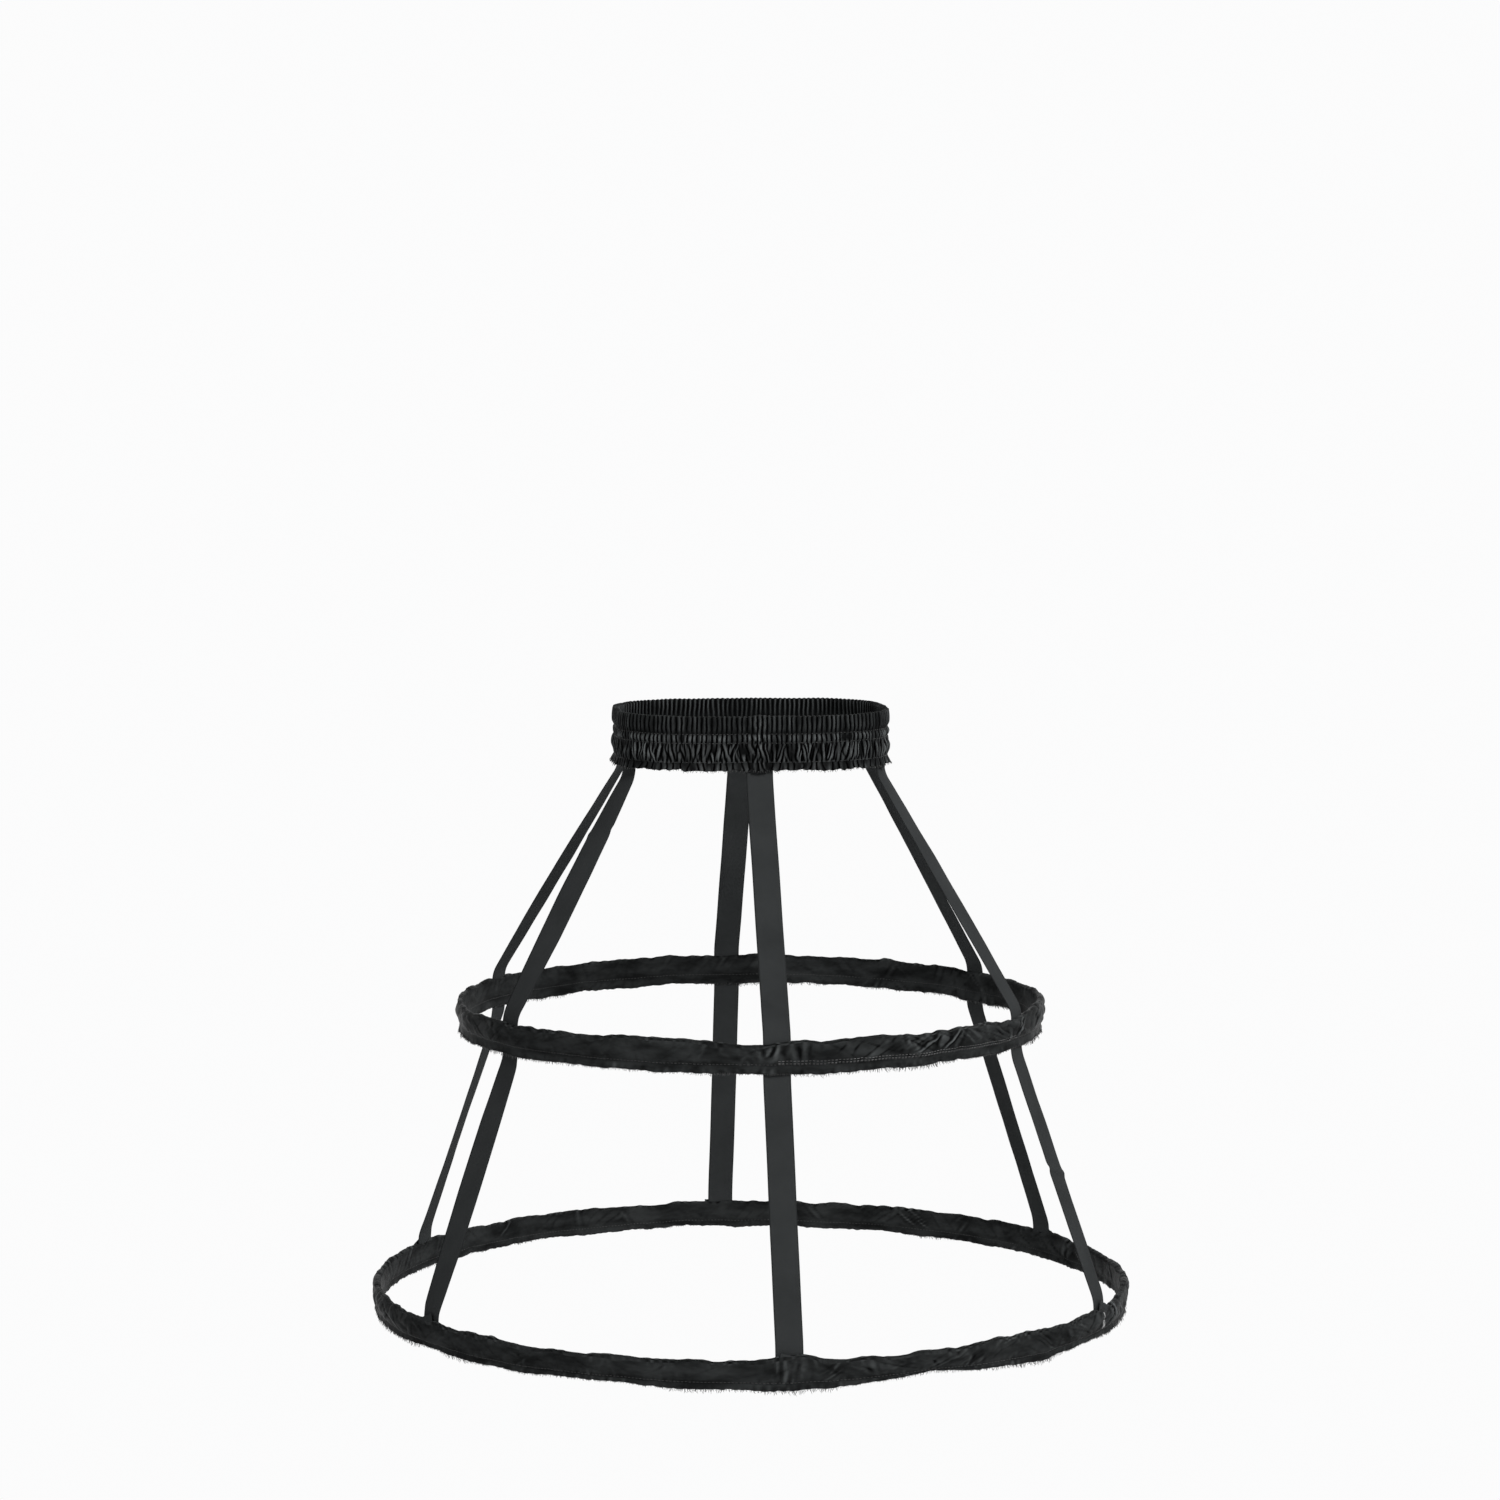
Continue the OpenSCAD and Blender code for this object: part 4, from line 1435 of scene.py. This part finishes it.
class CAGE_OT_stage(bpy.types.Operator):
    """Sets up the floor, the soft light and the camera"""

    bl_idname = "cage.stage"
    bl_label = "Stage"

    def execute(self, context):
        scene = context.scene
        scene.view_settings.view_transform = "Standard"
        self.floor(tuple(scene.cage_colours.floor))
        self.world(scene, tuple(scene.cage_colours.floor))
        for name, (place, size, power) in LIGHTS.items():
            self.softbox(name, place, size, power)
        self.camera(scene)
        return {"FINISHED"}

    @staticmethod
    def seen_rays(tree):
        """1 for the rays that show a surface itself: from the camera, off a gloss or through it."""
        path = tree.nodes.new("ShaderNodeLightPath")
        total = path.outputs["Is Camera Ray"]
        for name in ("Is Glossy Ray", "Is Transmission Ray"):
            either = tree.nodes.new("ShaderNodeMath")
            either.operation = "MAXIMUM"
            tree.links.new(total, either.inputs[0])
            tree.links.new(path.outputs[name], either.inputs[1])
            total = either.outputs["Value"]
        return total

    def floor(self, colour):
        """A pale floor that keeps the shadow near the middle and is plain white further out."""
        bm = bmesh.new()
        bmesh.ops.create_grid(bm, x_segments=4, y_segments=4, size=FLOOR_HALF)
        bmesh.ops.translate(bm, verts=bm.verts, vec=(0, 0, FLOOR_Z))
        mesh = bpy.data.meshes.new("floor")
        bm.to_mesh(mesh)
        bm.free()
        obj = bpy.data.objects.new("floor", mesh)
        bpy.context.scene.collection.objects.link(obj)
        n = Nodes("pale_floor")
        n.shader.inputs["Base Color"].default_value = (*colour, 1)
        n.shader.inputs["Roughness"].default_value = 0.9
        glow = n.add("ShaderNodeEmission")
        glow.inputs["Color"].default_value = (*colour, 1)
        far = n.add("ShaderNodeVectorMath", operation="LENGTH")
        n.link(n.coords.outputs["Object"], far.inputs[0])
        fade = n.ramp(far.outputs["Value"], FADE_LEAST, 1.0, FADE_START, FADE_STOP)
        mix = n.add("ShaderNodeMixShader")
        n.link(n.times(fade, self.seen_rays(n.tree)), mix.inputs["Fac"])
        n.link(n.shader.outputs["BSDF"], mix.inputs[1])
        n.link(glow.outputs["Emission"], mix.inputs[2])
        n.link(mix.outputs["Shader"], n.tree.nodes["Material Output"].inputs["Surface"])
        mesh.materials.append(n.material)

    def world(self, scene, colour):
        """A dim even light all round, with a pale backdrop."""
        world = bpy.data.worlds.new("studio")
        world.use_nodes = True
        scene.world = world
        tree = world.node_tree
        lit = tree.nodes["Background"]
        lit.inputs["Color"].default_value = (1, 1, 1, 1)
        lit.inputs["Strength"].default_value = ROOM_LIGHT
        shown = tree.nodes.new("ShaderNodeBackground")
        shown.inputs["Color"].default_value = (*colour, 1)
        mix = tree.nodes.new("ShaderNodeMixShader")
        tree.links.new(self.seen_rays(tree), mix.inputs["Fac"])
        tree.links.new(lit.outputs["Background"], mix.inputs[1])
        tree.links.new(shown.outputs["Background"], mix.inputs[2])
        tree.links.new(mix.outputs["Shader"], tree.nodes["World Output"].inputs["Surface"])

    @staticmethod
    def softbox(name, place, size, power):
        """A square soft light that faces the cage."""
        lamp = bpy.data.lights.new(name, "AREA")
        lamp.size = size
        lamp.energy = power
        obj = bpy.data.objects.new(name, lamp)
        obj.location = place
        aim = Vector(LIGHT_AIM) - Vector(place)
        obj.rotation_euler = aim.to_track_quat("-Z", "Y").to_euler()
        bpy.context.scene.collection.objects.link(obj)

    @staticmethod
    def camera(scene):
        """A long lens from the back, a little above the hoops."""
        data = bpy.data.cameras.new("camera")
        data.sensor_width = CAMERA_SENSOR
        data.lens = CAMERA_LENS
        obj = bpy.data.objects.new("camera", data)
        obj.location = CAMERA_PLACE
        pitch, turn = math.radians(CAMERA_PITCH), math.radians(CAMERA_TURN)
        level = math.cos(pitch)
        ahead = Vector((math.sin(turn) * level, math.cos(turn) * level, -math.sin(pitch)))
        obj.rotation_euler = ahead.to_track_quat("-Z", "Y").to_euler()
        scene.collection.objects.link(obj)
        scene.camera = obj


OPERATORS = (
    CAGE_OT_waistband,
    CAGE_OT_casings,
    CAGE_OT_ribbons,
    CAGE_OT_stitching,
    CAGE_OT_fray,
    CAGE_OT_boning,
    CAGE_OT_stage,
)


class CAGE_PT_panel(bpy.types.Panel):
    """Lists the cage's pieces, sizes and colours"""

    bl_idname = "CAGE_PT_panel"
    bl_label = "Crinoline cage"
    bl_space_type = "VIEW_3D"
    bl_region_type = "UI"
    bl_category = "Cage"

    def draw(self, context):
        column = self.layout.column()
        for operator in OPERATORS:
            column.operator(operator.bl_idname)
        for group in (context.scene.cage_sizes, context.scene.cage_colours):
            for name in group.__annotations__:
                column.prop(group, name)


CLASSES = (CageSizes, CageColours, *OPERATORS, CAGE_PT_panel)


def register():
    """Adds the classes and the scene's sizes and colours."""
    for cls in CLASSES:
        bpy.utils.register_class(cls)
    bpy.types.Scene.cage_sizes = PointerProperty(type=CageSizes)
    bpy.types.Scene.cage_colours = PointerProperty(type=CageColours)


def unregister():
    """Takes away what register adds."""
    del bpy.types.Scene.cage_colours
    del bpy.types.Scene.cage_sizes
    for cls in reversed(CLASSES):
        bpy.utils.unregister_class(cls)


def main():
    """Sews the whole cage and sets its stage."""
    register()
    bpy.ops.cage.waistband()
    bpy.ops.cage.casings()
    bpy.ops.cage.ribbons()
    bpy.ops.cage.stitching()
    bpy.ops.cage.fray()
    bpy.ops.cage.boning()
    bpy.ops.cage.stage()


if __name__ == "__main__":
    main()
